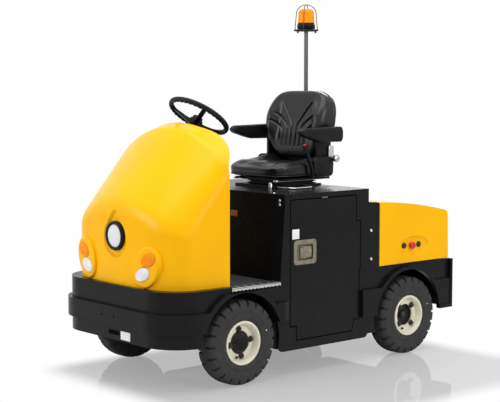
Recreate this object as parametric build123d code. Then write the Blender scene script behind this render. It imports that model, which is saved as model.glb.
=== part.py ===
from build123d import *
import os
from math import atan2, cos, radians, sin, sqrt

os.makedirs("parts", exist_ok=True)

# Tow tractor in millimetres. Forward is -Y, the vehicle's left is +X, the floor is z = 0.
# The origin is on the floor, at the middle of the overall length and width.

# Overall sizes
overall_length = 2240.0
overall_width = 1090.0
coupling_reach = 65.0
front_overhang = 500.0
wheelbase = 1290.0

# Wheels
tyre_radius = 231.0
tyre_width = 128.0
tyre_bore = 106.0
rim_flange_radius = 119.0
rim_wall = 5.0
hub_radius = 63.0
spindle_radius = 20.0
running_gap = 0.05

# Body heights above the floor
sill_z = 140.0
skirt_z = 235.0
band_low_z = 315.0
band_top_z = 420.0
rear_band_low_z = 262.0
floor_z = 527.0
skirt_top_z = 535.0
rear_deck_z = 545.0
rear_top_z = 920.0
deck_skirt_z = 932.0
deck_top_z = 1004.0
cowl_top_z = 1402.0

# Sheets, plates and gaps
plate = 8.0
sheet = 4.0
moulding = 5.0
gap = 6.0
band_proud = 23.0
lip_width = 27.0
arch_clearance = 39.0
skirt_corner = 205.0
bulkhead_sheet = 6.0
hinge_pin_radius = 4.0

# Battery door
door_depth = 30.0
door_top_z = 970.0
door_low_z = 195.0
door_step_z = 275.0
hinge_flange_top_z = 822.0
hinge_flange_low_z = 547.0
hinge_flange_reach = 15.0
hinge_top_setback = 19.0

# Places that follow from the sizes above
front_y = -overall_length / 2
rear_y = overall_length / 2 - coupling_reach
half_width = overall_width / 2
face_x = half_width - band_proud
front_axle_y = front_y + front_overhang
rear_axle_y = front_axle_y + wheelbase
wheel_x = half_width - tyre_width / 2
axle_z = tyre_radius
arch_radius = tyre_radius + arch_clearance
skirt_y = front_y + band_proud
bulkhead_y = front_axle_y + arch_radius + 8
door_front_y = bulkhead_y + 77
hinge_y = rear_axle_y - arch_radius - 142
rear_strip_y = hinge_y + 85
cover_front_y = rear_strip_y + 87
rear_plate = 16.0
inner_x = face_x - plate

nodes = {}


def block(x, y, z):
    """A box from (low, high) pairs."""
    size = Box(x[1] - x[0], y[1] - y[0], z[1] - z[0])
    return Pos((x[0] + x[1]) / 2, (y[0] + y[1]) / 2, (z[0] + z[1]) / 2) * size


def rod_x(radius, x, y, z):
    """A round bar along X, from x[0] to x[1]."""
    bar = Cylinder(radius, x[1] - x[0], rotation=(0, 90, 0))
    return Pos((x[0] + x[1]) / 2, y, z) * bar


def rod_z(radius, x, y, z):
    """A round bar along Z, from z[0] to z[1]."""
    return Pos(x, y, (z[0] + z[1]) / 2) * Cylinder(radius, z[1] - z[0])


def rod_y(radius, x, y, z):
    """A round bar along Y, from y[0] to y[1]."""
    bar = Cylinder(radius, y[1] - y[0], rotation=(90, 0, 0))
    return Pos(x, (y[0] + y[1]) / 2, z) * bar


def side_plate(points, x):
    """A closed (y, z) outline carried along X, from x[0] to x[1]."""
    face = make_face(Polyline(*[(y, z) for y, z in points], close=True))
    return extrude(Plane(origin=(x[0], 0, 0), x_dir=(0, 1, 0), z_dir=(1, 0, 0)) * face, x[1] - x[0])


def both_sides(shape):
    """The shape on the left and its mirror image on the right."""
    return [shape, mirror(shape, Plane.YZ)]


def u_outline(half, y_front, y_back, corner, z):
    """A face at height z: straight back and sides, and two rounded corners in front."""
    mid = corner * (1 - sqrt(0.5))
    wire = [
        Line((-half, y_back), (-half, y_front + corner)),
        ThreePointArc((-half, y_front + corner), (-half + mid, y_front + mid), (-half + corner, y_front)),
        Line((-half + corner, y_front), (half - corner, y_front)),
        ThreePointArc((half - corner, y_front), (half - mid, y_front + mid), (half, y_front + corner)),
        Line((half, y_front + corner), (half, y_back)),
        Line((half, y_back), (-half, y_back)),
    ]
    return Pos(0, 0, z) * make_face(wire)


def u_wall(inset, wall, y_back, z):
    """A wall round the front and both sides; inset is counted from the skirt's face."""
    outer = u_outline(face_x - inset, skirt_y + inset, y_back, skirt_corner - inset, z[0])
    inner = u_outline(face_x - inset - wall, skirt_y + inset + wall, y_back + 1,
                      skirt_corner - inset - wall, z[0])
    return extrude(outer, z[1] - z[0]) - extrude(inner, z[1] - z[0])


def wheel_opening(axle_y, radius):
    """The round cut of a wheel arch, right across the vehicle, open at the bottom."""
    return rod_x(radius, (-half_width - 1, half_width + 1), axle_y, axle_z)


def arch_lip(axle_y, y, z):
    """A raised flare round the left wheel arch, kept between y[0] and y[1] and z[0] and z[1]."""
    ring = rod_x(arch_radius + lip_width, (face_x, half_width), axle_y, axle_z)
    ring -= rod_x(arch_radius, (face_x - 1, half_width + 1), axle_y, axle_z)
    return ring & block((face_x, half_width), y, z)


def grown(points, amount):
    """The closed outline with every straight edge moved outwards by the amount."""
    count = len(points)
    area = sum(points[i - 1][0] * points[i][1] - points[i][0] * points[i - 1][1] for i in range(count))
    turn = 1 if area > 0 else -1
    lines = []
    for i in range(count):
        (y0, z0), (y1, z1) = points[i - 1], points[i]
        length = sqrt((y1 - y0) ** 2 + (z1 - z0) ** 2)
        normal = (turn * (z1 - z0) / length, -turn * (y1 - y0) / length)
        lines.append((normal, normal[0] * y0 + normal[1] * z0 + amount))
    corners = []
    for i in range(count):
        (a, b), c = lines[i]
        (d, e), f = lines[(i + 1) % count]
        det = a * e - b * d
        corners.append(((c * e - b * f) / det, (a * f - c * d) / det))
    return corners


def crowned_outline(half, base, spring, corner, top):
    """A face between straight sides, two corner arcs and a crown arc, all tangent to one another."""
    a = half - corner
    k = spring - top
    crown = (corner ** 2 - a ** 2 - k ** 2) / (2 * (k + corner))
    turn = atan2(spring - top + crown, a)
    shoulder = (a + corner * cos(turn / 2), spring + corner * sin(turn / 2))
    tangent = (a + corner * cos(turn), spring + corner * sin(turn))
    wire = [
        Line((half, base), (half, spring)),
        ThreePointArc((half, spring), shoulder, tangent),
        ThreePointArc(tangent, (0, top), (-tangent[0], tangent[1])),
        ThreePointArc((-tangent[0], tangent[1]), (-shoulder[0], shoulder[1]), (-half, spring)),
        Line((-half, spring), (-half, base)),
        Line((-half, base), (half, base)),
    ]
    return make_face(wire)


def fuse(shapes):
    """One solid from shapes that touch or overlap."""
    whole = shapes[0]
    for shape in shapes[1:]:
        whole = whole + shape
    return whole


# Chassis frame: front rails, battery tray between two cross walls, rear rails
rail_x = (150.0, 210.0)
rail_z = (290.0, 380.0)
tray_back_y = rear_strip_y - 8
tray_z = (150.0, 190.0)
tray_half = inner_x - door_depth - 2


def build_chassis():
    front_wall = block((-tray_half, tray_half), (bulkhead_y + 8, bulkhead_y + 20), (tray_z[0], floor_z - 12))
    back_wall = block((-tray_half, tray_half), (tray_back_y - 12, tray_back_y), (tray_z[0], floor_z - 12))
    tray = block((-tray_half, tray_half), (bulkhead_y + 8, tray_back_y), tray_z)
    parts = [tray, front_wall, back_wall]
    for x in (rail_x, (-rail_x[1], -rail_x[0])):
        parts.append(block(x, (skirt_y + plate, bulkhead_y + 8), rail_z))
        parts.append(block(x, (tray_back_y, rear_y - rear_plate), rail_z))
    parts.append(block((-rail_x[1], rail_x[1]), (skirt_y + plate, skirt_y + plate + 60), rail_z))
    parts.append(block((-rail_x[1], rail_x[1]), (rear_y - rear_plate - 60, rear_y - rear_plate), rail_z))
    return fuse(parts)


nodes["chassis_frame"] = build_chassis()

# Front skirt: a wall round the front with a ledge on top, and arches over the front wheels
arch_reach = arch_radius + lip_width + 1
lip_top_z = floor_z - 23
step_front_y = bulkhead_y - 345


def build_front_skirt():
    wall = u_wall(0, plate, front_axle_y, (skirt_z, floor_z - 22))
    rim = u_wall(0, plate, step_front_y, (floor_z - 22, skirt_top_z))
    ledge = u_wall(plate, 60, step_front_y, (floor_z, skirt_top_z))
    body = wall + rim + ledge - wheel_opening(front_axle_y, arch_radius)
    lip = arch_lip(front_axle_y, (front_axle_y - arch_reach, front_axle_y), (band_low_z, lip_top_z))
    for side in both_sides(lip):
        body += side
    return body


nodes["front_skirt"] = build_front_skirt()

# Bumper band: proud of the skirt, round the front as far as the lips of the arches
def build_front_bumper():
    band = u_wall(-band_proud, band_proud, front_axle_y, (band_low_z, band_top_z))
    band -= wheel_opening(front_axle_y, arch_radius + lip_width)
    for side in (-1, 1):
        band -= Pos(side * 55.0, front_y, 368.0) * Cylinder(6.5, 60, rotation=(90, 0, 0))
    return band


nodes["front_bumper"] = build_front_bumper()

# Side frames: post in front of the door, sill under it and post behind it
door_outline = [
    (door_front_y, door_top_z),
    (hinge_y - hinge_top_setback, door_top_z),
    (hinge_y - hinge_top_setback, hinge_flange_top_z),
    (hinge_y + hinge_flange_reach, hinge_flange_top_z),
    (hinge_y + hinge_flange_reach, hinge_flange_low_z),
    (hinge_y + 7, hinge_flange_low_z),
    (hinge_y + 7, door_step_z - 15),
    (hinge_y - 33, door_step_z - 15),
    (hinge_y - 50, door_low_z),
    (door_front_y + 47, door_low_z),
    (door_front_y + 47, door_step_z),
    (door_front_y, door_step_z),
]
post_lean = 32.0
hinge_x = face_x - 6
hinge_pin_y = hinge_y - 5
sill_corner = 35.0


def door_cut(x):
    """The door's outline, larger by the gap all round."""
    return side_plate(grown(door_outline, gap), x)


def hinge_pins(radius, extra):
    """The two pivot pins of the left door, under its foot and over its flange; extra lengthens both."""
    low = (door_step_z - 41 - extra, door_step_z - 3 + extra)
    high = (hinge_flange_top_z - 10 - extra, hinge_flange_top_z + 16 + extra)
    return [rod_z(radius, hinge_x, hinge_pin_y, z) for z in (low, high)]


def build_side_frame():
    outline = [
        (front_axle_y, sill_z),
        (front_axle_y, floor_z - 22),
        (bulkhead_y, floor_z - 22),
        (bulkhead_y, floor_z),
        (bulkhead_y + post_lean, deck_skirt_z),
        (rear_strip_y, deck_skirt_z),
        (rear_strip_y, sill_z),
    ]
    side = side_plate(outline, (inner_x, face_x))
    side -= wheel_opening(front_axle_y, arch_radius)
    corners = side.edges().filter_by(Axis.X).group_by(Axis.Z)[0].sort_by(Axis.Y)
    side = fillet([corners[0], corners[-1]], sill_corner)
    side += arch_lip(front_axle_y, (front_axle_y, front_axle_y + arch_reach), (band_low_z, lip_top_z))
    band = [
        (face_x, front_axle_y + arch_radius - 30),
        (half_width, front_axle_y + arch_radius - 30),
        (half_width, door_front_y - gap - 52),
        (face_x, door_front_y - gap - 4),
    ]
    side += extrude(Pos(0, 0, band_low_z) * make_face(Polyline(*band, close=True)), band_top_z - band_low_z)
    side -= door_cut((inner_x - 1, face_x + 1))
    side -= wheel_opening(front_axle_y, arch_radius)
    for pin in hinge_pins(hinge_pin_radius, 0):
        side += pin
    return side - wheel_opening(rear_axle_y, arch_radius + 5)


nodes["side_frames"] = Compound(both_sides(build_side_frame()))

# Floor and step treads
tread_width = 62.0
tread_z = (505.0, 531.0)


def build_floor():
    floor = extrude(u_outline(inner_x, skirt_y + plate, bulkhead_y, skirt_corner - plate, floor_z - 10), 10)
    for side in (-1, 1):
        edge = face_x + 6 - tread_width
        x = (side * edge, side * (inner_x + 1))
        floor -= block((min(x), max(x)), (step_front_y, bulkhead_y), (floor_z - 11, floor_z + 1))
    return floor


def build_step_tread():
    top = block((face_x + 6 - tread_width, face_x + 6), (step_front_y, bulkhead_y - 1), (floor_z, tread_z[1]))
    lip = block((face_x, face_x + 6), (step_front_y, bulkhead_y - 1), (tread_z[0], floor_z))
    web = block((face_x + 6 - tread_width, face_x), (step_front_y, bulkhead_y - 1), (floor_z - 10, floor_z))
    return top + lip + web


nodes["floor_plate"] = build_floor()
nodes["step_treads"] = Compound(both_sides(build_step_tread()))


# Bulkhead: the leaning front wall of the battery compartment
def build_bulkhead():
    outline = [
        (bulkhead_y, floor_z - 10),
        (bulkhead_y + post_lean, deck_skirt_z),
        (bulkhead_y + post_lean + bulkhead_sheet, deck_skirt_z),
        (bulkhead_y + bulkhead_sheet, floor_z - 10),
    ]
    return side_plate(outline, (-inner_x, inner_x))


nodes["bulkhead"] = build_bulkhead()

# Battery: one plain block on the tray
battery_half = 445.0


def build_battery():
    y = (bulkhead_y + 60, tray_back_y - 30)
    return block((-battery_half, battery_half), y, (tray_z[1], deck_skirt_z - 40))


nodes["battery"] = build_battery()


# Battery doors: a folded pan with the outline of the opening, and a square latch
def build_door():
    x = face_x - door_depth
    pan = side_plate(door_outline, (x, face_x))
    pan -= side_plate(grown(door_outline, -sheet), (x - 1, face_x - sheet))
    for pin in hinge_pins(hinge_pin_radius + running_gap, 1):
        pan -= pin
    rib_y = (door_front_y + 200, door_front_y + 206)
    pan += block((x + 6, face_x - sheet), rib_y, (door_step_z, door_top_z - sheet))
    return pan


latch_y = (door_front_y + 19, door_front_y + 189)
latch_z = (612.0, 749.0)


def build_latch():
    plate_x = (face_x, face_x + 5)
    body = fillet(block(plate_x, latch_y, latch_z).edges().filter_by(Axis.X), 20)
    mid_z = (latch_z[0] + latch_z[1]) / 2
    well_z = (latch_z[0] + 26, latch_z[1] - 26)
    well = block((face_x + 2, face_x + 6), (latch_y[0] + 36, latch_y[1] - 30), well_z)
    body -= fillet(well.edges().filter_by(Axis.X), 12)
    paddle = block((face_x + 1, face_x + 9), (latch_y[0] + 66, latch_y[1] - 42), (mid_z - 30, mid_z + 30))
    return body + fillet(paddle.edges().filter_by(Axis.X), 8)


for side_name, door, latch in zip(("left", "right"), both_sides(build_door()), both_sides(build_latch())):
    nodes[side_name + "_door"] = door
    nodes[side_name + "_latch"] = latch


# Seat deck: a tray turned over, with its side walls cut away over the doors
def build_deck():
    y = (bulkhead_y + post_lean + 3, rear_strip_y)
    outer = block((-face_x, face_x), y, (deck_skirt_z, deck_top_z))
    hollow = block((-inner_x, inner_x), (y[0] + sheet, y[1] - sheet), (deck_skirt_z, deck_top_z - plate))
    cut = block((-face_x - 1, face_x + 1), (door_front_y - gap, hinge_y - hinge_top_setback + gap),
                (deck_skirt_z - 1, door_top_z + gap))
    return outer - hollow - cut


nodes["seat_deck"] = build_deck()

# Rear body: strip behind the deck, sides with the rear arches, deck under the cover, thick end plate
cover_back_y = rear_y - rear_plate - 10
hinge_round = 12.5
cover_hinge_y = cover_front_y + gap + hinge_round
cover_hinge_z = rear_top_z - 2 - hinge_round
hinge_bar_radius = 5.0
hinge_bar_half = face_x - 26
hinge_ears_x = (-hinge_bar_half + 20, 0, hinge_bar_half - 20)


def build_rear_body():
    parts = []
    side = [
        (rear_strip_y, sill_z + 20),
        (rear_strip_y, rear_top_z + 6),
        (cover_front_y, rear_top_z - 2),
        (cover_front_y, rear_deck_z - gap),
        (rear_y - rear_plate, rear_deck_z - gap),
        (rear_y - rear_plate, skirt_z + 7),
        (rear_axle_y, skirt_z + 7),
        (rear_axle_y, sill_z + 20),
    ]
    parts.extend(both_sides(side_plate(side, (inner_x, face_x))))
    strip = [
        (rear_strip_y, floor_z),
        (rear_strip_y, rear_top_z + 6),
        (cover_front_y, rear_top_z - 2),
        (cover_front_y, floor_z),
    ]
    inside = [
        (rear_strip_y + plate, floor_z + plate),
        (rear_strip_y + plate, rear_top_z - 4),
        (cover_front_y - plate, rear_top_z - 12),
        (cover_front_y - plate, floor_z + plate),
    ]
    parts.append(side_plate(strip, (-inner_x, inner_x)) - side_plate(inside, (-inner_x, inner_x)))
    parts.append(block((-inner_x, inner_x), (cover_front_y, rear_y - rear_plate), (floor_z, rear_deck_z - 7)))
    parts.append(block((-half_width, half_width), (rear_y - rear_plate, rear_y),
                       (skirt_z + 7, rear_deck_z - gap)))
    band_front = (hinge_y + hinge_flange_reach + gap, rear_axle_y)
    band_back = (rear_axle_y, rear_y - rear_plate)
    parts.extend(both_sides(block((face_x, half_width), band_front, (rear_band_low_z, band_top_z))))
    parts.extend(both_sides(block((face_x, half_width - 6), band_back, (rear_band_low_z, band_top_z))))
    parts.extend(both_sides(block((face_x, half_width), band_back, (skirt_z + 7, rear_band_low_z))))
    parts.append(rod_x(hinge_bar_radius, (-hinge_bar_half, hinge_bar_half), cover_hinge_y, cover_hinge_z))
    for x in hinge_ears_x:
        ear = block((x - 4, x + 4), (cover_front_y - 1, cover_hinge_y), (cover_hinge_z - 5, cover_hinge_z + 5))
        parts.append(ear)
    body = fuse(parts)
    body -= wheel_opening(rear_axle_y, arch_radius + 5)
    lip_y = (rear_axle_y - arch_reach, rear_axle_y + arch_reach)
    lip = arch_lip(rear_axle_y, lip_y, (band_top_z - 40, axle_z + arch_reach))
    for side in both_sides(lip):
        body += side
    return body - wheel_opening(rear_axle_y, arch_radius + 5)


nodes["rear_body"] = build_rear_body()

# Rear cover: a hollow moulding with a falling top, open below and in front
cover_fall = 85.0
pocket_y = rear_axle_y + 63.5
pocket_z = 644.0
pocket_half = (123.0, 57.0)
pocket_depth = 9.0


def cover_profile(inset):
    """The cover seen from the side: a top that falls in one arc, and a back that leans out a little."""
    y0 = cover_front_y + gap
    y1 = cover_back_y - inset
    top = rear_top_z - 2 - inset
    end = top - cover_fall
    wire = [
        Line((y0, rear_deck_z), (y0, top)),
        ThreePointArc((y0, top), ((y0 + y1) / 2, top - cover_fall / 2 + 14), (y1, end)),
        Line((y1, end), (y1 + 8, rear_deck_z)),
        Line((y1 + 8, rear_deck_z), (y0, rear_deck_z)),
    ]
    return make_face(wire)


def pocket(extra):
    """The oval hollow for the buttons on the left side; extra is the wall round its inside."""
    x = face_x - pocket_depth - extra
    plane = Plane(origin=(x, pocket_y, pocket_z), x_dir=(0, 1, 0), z_dir=(1, 0, 0))
    floor = plane * Ellipse(pocket_half[0] - pocket_depth + extra, pocket_half[1] - pocket_depth + extra)
    return extrude(floor, pocket_depth + extra + 1, taper=-45)


def build_cover():
    plane = Plane(origin=(-face_x, 0, 0), x_dir=(0, 1, 0), z_dir=(1, 0, 0))
    outer = extrude(plane * cover_profile(0), 2 * face_x)
    tops = outer.edges().filter_by(Axis.X).sort_by(Axis.Z)[-2:].sort_by(Axis.Y)
    outer = fillet(tops[1], 34)
    tops = outer.edges().filter_by(Axis.X).sort_by(Axis.Z)
    outer = fillet(tops[-1], hinge_round)
    inner_plane = Plane(origin=(-face_x + moulding, 0, 0), x_dir=(0, 1, 0), z_dir=(1, 0, 0))
    inner = extrude(inner_plane * cover_profile(moulding), 2 * (face_x - moulding))
    for side in both_sides(pocket(moulding)):
        inner -= side
    cover = outer - inner
    for side in both_sides(pocket(0)):
        cover -= side
    for x in (-hinge_bar_half + 120, hinge_bar_half - 120):
        ring = rod_x(hinge_round - 1, (x - 25, x + 25), cover_hinge_y, cover_hinge_z)
        cover += ring
        cover -= rod_x(hinge_bar_radius + running_gap, (x - 26, x + 26), cover_hinge_y, cover_hinge_z)
    for x in hinge_ears_x:
        notch_y = (cover_front_y + gap - 1, cover_hinge_y + 4)
        cover -= block((x - 10, x + 10), notch_y, (cover_hinge_z - 12, rear_top_z))
    return cover


nodes["rear_cover"] = build_cover()

# Stop buttons on both sides of the cover
stop_y = pocket_y - 24
stop_z = pocket_z + 1
floor_x = face_x - pocket_depth


def build_stop_button():
    button = rod_x(14, (floor_x, floor_x + 12), stop_y, stop_z)
    head = rod_x(21, (floor_x + 12, floor_x + 26), stop_y, stop_z)
    return button + fillet(head.edges().sort_by(Axis.X)[-1], 5)


nodes["stop_buttons"] = Compound(both_sides(build_stop_button()))


# Tail lamps
def build_tail_lamp():
    body = block((face_x - 110, face_x - 30), (rear_y, rear_y + 14), (445, 505))
    return fillet(body.edges().filter_by(Axis.Y), 12)


nodes["tail_lamps"] = Compound(both_sides(build_tail_lamp()))

# Tow coupling: three plates on a back plate, with a drop pin through them
pin_y = rear_y + 38
pin_radius = 12.5
coupling_z = (270.0, 330.0, 390.0)


def build_coupling():
    back = block((-75, 75), (rear_y, rear_y + 12), (coupling_z[0] - 10, coupling_z[2] + 22))
    body = fillet(back.edges().filter_by(Axis.Y), 10)
    for z in coupling_z:
        jaw = block((-55, 55), (rear_y + 11, rear_y + coupling_reach), (z, z + 12))
        body += fillet(jaw.edges().filter_by(Axis.Z).group_by(Axis.Y)[-1], 30)
    return body - rod_z(pin_radius + 0.5, 0, pin_y, (coupling_z[0] - 1, coupling_z[2] + 13))


def build_tow_pin():
    shaft = rod_z(pin_radius, 0, pin_y, (coupling_z[0] - 6, coupling_z[2] + 12))
    return shaft + rod_z(20, 0, pin_y, (coupling_z[2] + 12, coupling_z[2] + 24))


nodes["tow_coupling"] = build_coupling()
nodes["tow_pin"] = build_tow_pin()

# Front axle, knuckles and tie rod
kingpin_x = wheel_x - 88
kingpin_radius = 14.0
boss_radius = 30.0
boss_half = 40.0
ear = 16.0
ear_gap = 2.0
spindle_end_x = wheel_x + 24
arm_reach = 140.0
arm_z = axle_z - boss_half - ear_gap - ear
eye_radius = 14.0
ball_radius = 8.0


def build_front_axle():
    beam = block((-kingpin_x + 50, kingpin_x - 50), (front_axle_y - 35, front_axle_y + 35),
                 (axle_z - 30, axle_z + 30))
    end = block((kingpin_x - 60, kingpin_x), (front_axle_y - 25, front_axle_y + 25), (axle_z - 25, axle_z + 25))
    end += rod_z(boss_radius, kingpin_x, front_axle_y, (axle_z - boss_half, axle_z + boss_half))
    end -= rod_z(kingpin_radius + running_gap, kingpin_x, front_axle_y,
                 (axle_z - boss_half - 1, axle_z + boss_half + 1))
    end += block(rail_x, (front_axle_y - 35, front_axle_y + 35), (axle_z + 30, rail_z[0]))
    for side in both_sides(end):
        beam += side
    return beam


def build_knuckle():
    x = kingpin_x
    web = (x + 38, x + 52)
    high = (axle_z + boss_half + ear_gap, axle_z + boss_half + ear_gap + ear)
    low = (arm_z, arm_z + ear)
    parts = [block(web, (front_axle_y - 30, front_axle_y + 30), (low[0], high[1]))]
    for z in (high, low):
        parts.append(block((x, web[0]), (front_axle_y - 28, front_axle_y + 28), z))
        parts.append(rod_z(28, x, front_axle_y, z))
    parts.append(rod_z(kingpin_radius, x, front_axle_y, (low[0], high[1])))
    parts.append(rod_x(spindle_radius, (web[1] - 1, spindle_end_x), front_axle_y, axle_z))
    arm = [
        (x + eye_radius - 1, front_axle_y + 20),
        (x - 24, front_axle_y + 20),
        (x - eye_radius + 1, front_axle_y + arm_reach),
        (x + eye_radius - 1, front_axle_y + arm_reach),
    ]
    parts.append(extrude(Pos(0, 0, low[0]) * make_face(Polyline(*arm, close=True)), ear))
    parts.append(rod_z(eye_radius, x, front_axle_y + arm_reach, low))
    parts.append(rod_z(ball_radius, x, front_axle_y + arm_reach, (low[0] - 22, low[0] + 1)))
    return fuse(parts)


def build_tie_rod():
    y = front_axle_y + arm_reach
    z = (arm_z - 20, arm_z - 2)
    rod = rod_x(7.5, (-kingpin_x, kingpin_x), y, (z[0] + z[1]) / 2)
    for side in (-1, 1):
        rod += rod_z(eye_radius, side * kingpin_x, y, z)
    for side in (-1, 1):
        rod -= rod_z(ball_radius + running_gap, side * kingpin_x, y, (z[0] - 1, z[1] + 1))
    return rod


nodes["front_axle"] = build_front_axle()
for side_name, knuckle in zip(("left", "right"), both_sides(build_knuckle())):
    nodes[side_name + "_knuckle"] = knuckle
nodes["tie_rod"] = build_tie_rod()

# Drive axle with its motor
drum_radius = 88.0
drum_x = (wheel_x - 72, wheel_x - 34)


def build_drive_axle():
    half = rod_x(48, (0, drum_x[0] + 1), rear_axle_y, axle_z)
    half += rod_x(drum_radius, drum_x, rear_axle_y, axle_z)
    half += rod_x(spindle_radius, (drum_x[1], drum_x[1] + 30), rear_axle_y, axle_z)
    half += block(rail_x, (rear_axle_y - 40, rear_axle_y + 40), (axle_z, rail_z[0]))
    axle = fuse(both_sides(half))
    axle += rod_x(96, (-60, 60), rear_axle_y, axle_z)
    return axle + rod_y(90, 0, (tray_back_y + 35, rear_axle_y), axle_z + 10)


nodes["drive_axle"] = build_drive_axle()

# Wheels: tyre and dished rim with its hub, turned about the axle
rim_edge_x = wheel_x + tyre_width / 2 - 3
disc_x = (rim_edge_x - 46, rim_edge_x - 36)
nut_circle = 74.0
nut_radius = 10.0
nut_turn = {"front": 7.0, "rear": 44.0}
hub_face_x = {"front": rim_edge_x - 31, "rear": rim_edge_x - 62}


def revolved(points, axle_y):
    """A closed (x, radius) outline turned about the axle through axle_y."""
    face = make_face(Polyline(*points, close=True))
    solid = revolve(face, Axis.X)
    return Pos(0, axle_y, axle_z) * solid


def build_tyre(axle_y):
    """Half of the section as (distance inwards from the sidewall, radius), then its mirror image."""
    half = tyre_width / 2
    seat = rim_flange_radius + 1
    side = [(12, tyre_bore), (12, seat), (4, seat + 7), (0, seat + 26), (1, seat + 52)]
    side += [(6, tyre_radius - 20), (14, tyre_radius - 8), (24, tyre_radius - 2), (40, tyre_radius)]
    right = [(wheel_x + half - x, r) for x, r in reversed(side)]
    return revolved([(wheel_x - half + x, r) for x, r in side] + right, axle_y)


def build_rim(axle_y, end_name):
    inner = wheel_x - tyre_width / 2 + 3
    bead = tyre_width / 2 - 12
    r = tyre_bore
    points = [
        (inner, rim_flange_radius),
        (wheel_x - bead, rim_flange_radius),
        (wheel_x - bead, r),
        (wheel_x + bead, r),
        (wheel_x + bead, rim_flange_radius),
        (rim_edge_x - 2, rim_flange_radius),
        (rim_edge_x, rim_flange_radius - 3),
        (rim_edge_x, r + 3),
        (rim_edge_x - 4, r - 1),
        (disc_x[1] + 12, r - 11),
        (disc_x[1] + 3, r - 13),
        (disc_x[1], r - 16),
        (disc_x[1], hub_radius + 1),
        (disc_x[0], hub_radius + 1),
        (disc_x[0], r - rim_wall - 3),
        (inner, r - rim_wall),
    ]
    rim = revolved(points, axle_y)
    for i in range(4):
        angle = radians(nut_turn[end_name] + 90 * i)
        y = axle_y + nut_circle * cos(angle)
        z = axle_z + nut_circle * sin(angle)
        rim += rod_x(nut_radius + 0.5, (disc_x[1] - 1, disc_x[1] + 3), y, z)
    return rim


def build_hub(axle_y, end_name):
    """The hub behind the disc; the front one comes through it with a domed cap, the rear one lies deep."""
    face = hub_face_x[end_name]
    if end_name == "front":
        bore_end = spindle_end_x + 2
        points = [
            (disc_x[0] - 22, spindle_radius + running_gap),
            (disc_x[0] - 22, hub_radius + 12),
            (disc_x[0], hub_radius + 12),
            (disc_x[0], hub_radius),
            (face - 8, hub_radius),
            (face, hub_radius - 8),
            (face, 50),
            (face + 10, 47),
            (face + 14, 40),
            (face + 15, 0),
            (bore_end, 0),
            (bore_end, spindle_radius + running_gap),
        ]
    else:
        points = [
            (drum_x[1] + 4, spindle_radius + running_gap),
            (drum_x[1] + 4, hub_radius + 12),
            (disc_x[0], hub_radius + 12),
            (disc_x[0], hub_radius),
            (face, hub_radius - 3),
            (face, 24),
            (face + 12, 22),
            (face + 12, 0),
            (drum_x[1] + 32, 0),
            (drum_x[1] + 32, spindle_radius + running_gap),
        ]
    return revolved(points, axle_y)


for end_name, axle_y in (("front", front_axle_y), ("rear", rear_axle_y)):
    wheel_parts = {
        "_tyre": build_tyre(axle_y),
        "_rim": build_rim(axle_y, end_name),
        "_hub": build_hub(axle_y, end_name),
    }
    for part_name, part in wheel_parts.items():
        for side_name, shape in zip(("left", "right"), both_sides(part)):
            nodes[end_name + "_" + side_name + part_name] = shape

# Cowl: a hollow moulding, open behind and below. Its skin runs straight from a low front arch
# to a high rear arch, and the plan outline cuts it with one large round along the crease.
cowl_inset = 25.0
cowl_half = face_x - cowl_inset
cowl_front_y = skirt_y + cowl_inset
cowl_back_y = skirt_y + 428
cowl_corner = 225.0
cowl_side_depth = 160.0
crease_round = 140.0
rear_arch = {"half": cowl_half - 12, "spring": cowl_top_z - 294, "shoulder": 196.0, "top": cowl_top_z}
front_arch = {"half": cowl_half - 35, "spring": skirt_top_z + 64, "shoulder": 322.0, "top": cowl_top_z - 436}


def cowl_arch(y, inset):
    """A face across the vehicle at y, on the straight lines between the front and the rear arch."""
    t = (cowl_back_y - y) / (cowl_back_y - cowl_front_y)
    at = {key: rear_arch[key] + t * (front_arch[key] - rear_arch[key]) for key in rear_arch}
    face = crowned_outline(at["half"] - inset, skirt_top_z, at["spring"],
                           at["shoulder"] - inset, at["top"] - inset)
    return Plane(origin=(0, y, 0), x_dir=(1, 0, 0), z_dir=(0, -1, 0)) * face


def cowl_solid(inset):
    """The cowl's outside, or the space inside it."""
    skin = loft([cowl_arch(cowl_back_y, inset), cowl_arch(cowl_front_y - 30, inset)], ruled=True)
    outline = crowned_outline(cowl_half - inset, -cowl_back_y, -cowl_back_y + cowl_side_depth,
                              cowl_corner - inset, -cowl_front_y - inset)
    plane = Plane(origin=(0, 0, skirt_top_z - 1), x_dir=(1, 0, 0), z_dir=(0, 0, -1))
    body = skin & extrude(plane * outline, skirt_top_z - cowl_top_z - 2)

    def on_crease(edge):
        box = edge.bounding_box()
        return box.max.Y < cowl_back_y - 3 and box.max.Z > skirt_top_z + 3 and box.size.X > 0.001

    return fillet(body.edges().filter_by(on_crease), crease_round - inset)


# Lamps on the cowl: a teardrop hollow for the head lamp, a leaning oval pod on each side for two small lamps
lamp_z = 794.0
drop_z = 780.0
drop_tip_z = 955.0
drop_radius = 105.0
drop_depth = 14.0
pod_x = 274.0
pod_z = 651.0
pod_half = (90.0, 118.0)
pod_lean = 28.0
pod_proud = 16.0
lamp_half = (57.0, 35.5)
lamp_step = 46.0
lamp_turn = 50.0
lamp_well = 8.0


def teardrop(extra):
    """The head lamp's hollow, with a sloping edge; extra is the wall round its inside."""
    r = drop_radius + extra
    tip = drop_tip_z + extra
    share = r / (tip - drop_z)
    side = (r * sqrt(1 - share ** 2), drop_z + r * share)
    wire = [
        ThreePointArc(side, (0, drop_z - r), (-side[0], side[1])),
        Line((-side[0], side[1]), (0, tip)),
        Line((0, tip), side),
    ]
    face = fillet(make_face(wire).vertices().sort_by(Axis.Y)[-1], 25)
    plane = Plane(origin=(0, cowl_front_y, 0), x_dir=(-1, 0, 0), z_dir=(0, 1, 0))
    return extrude(plane * face, -20) + extrude(plane * face, drop_depth + extra, taper=40)


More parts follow.
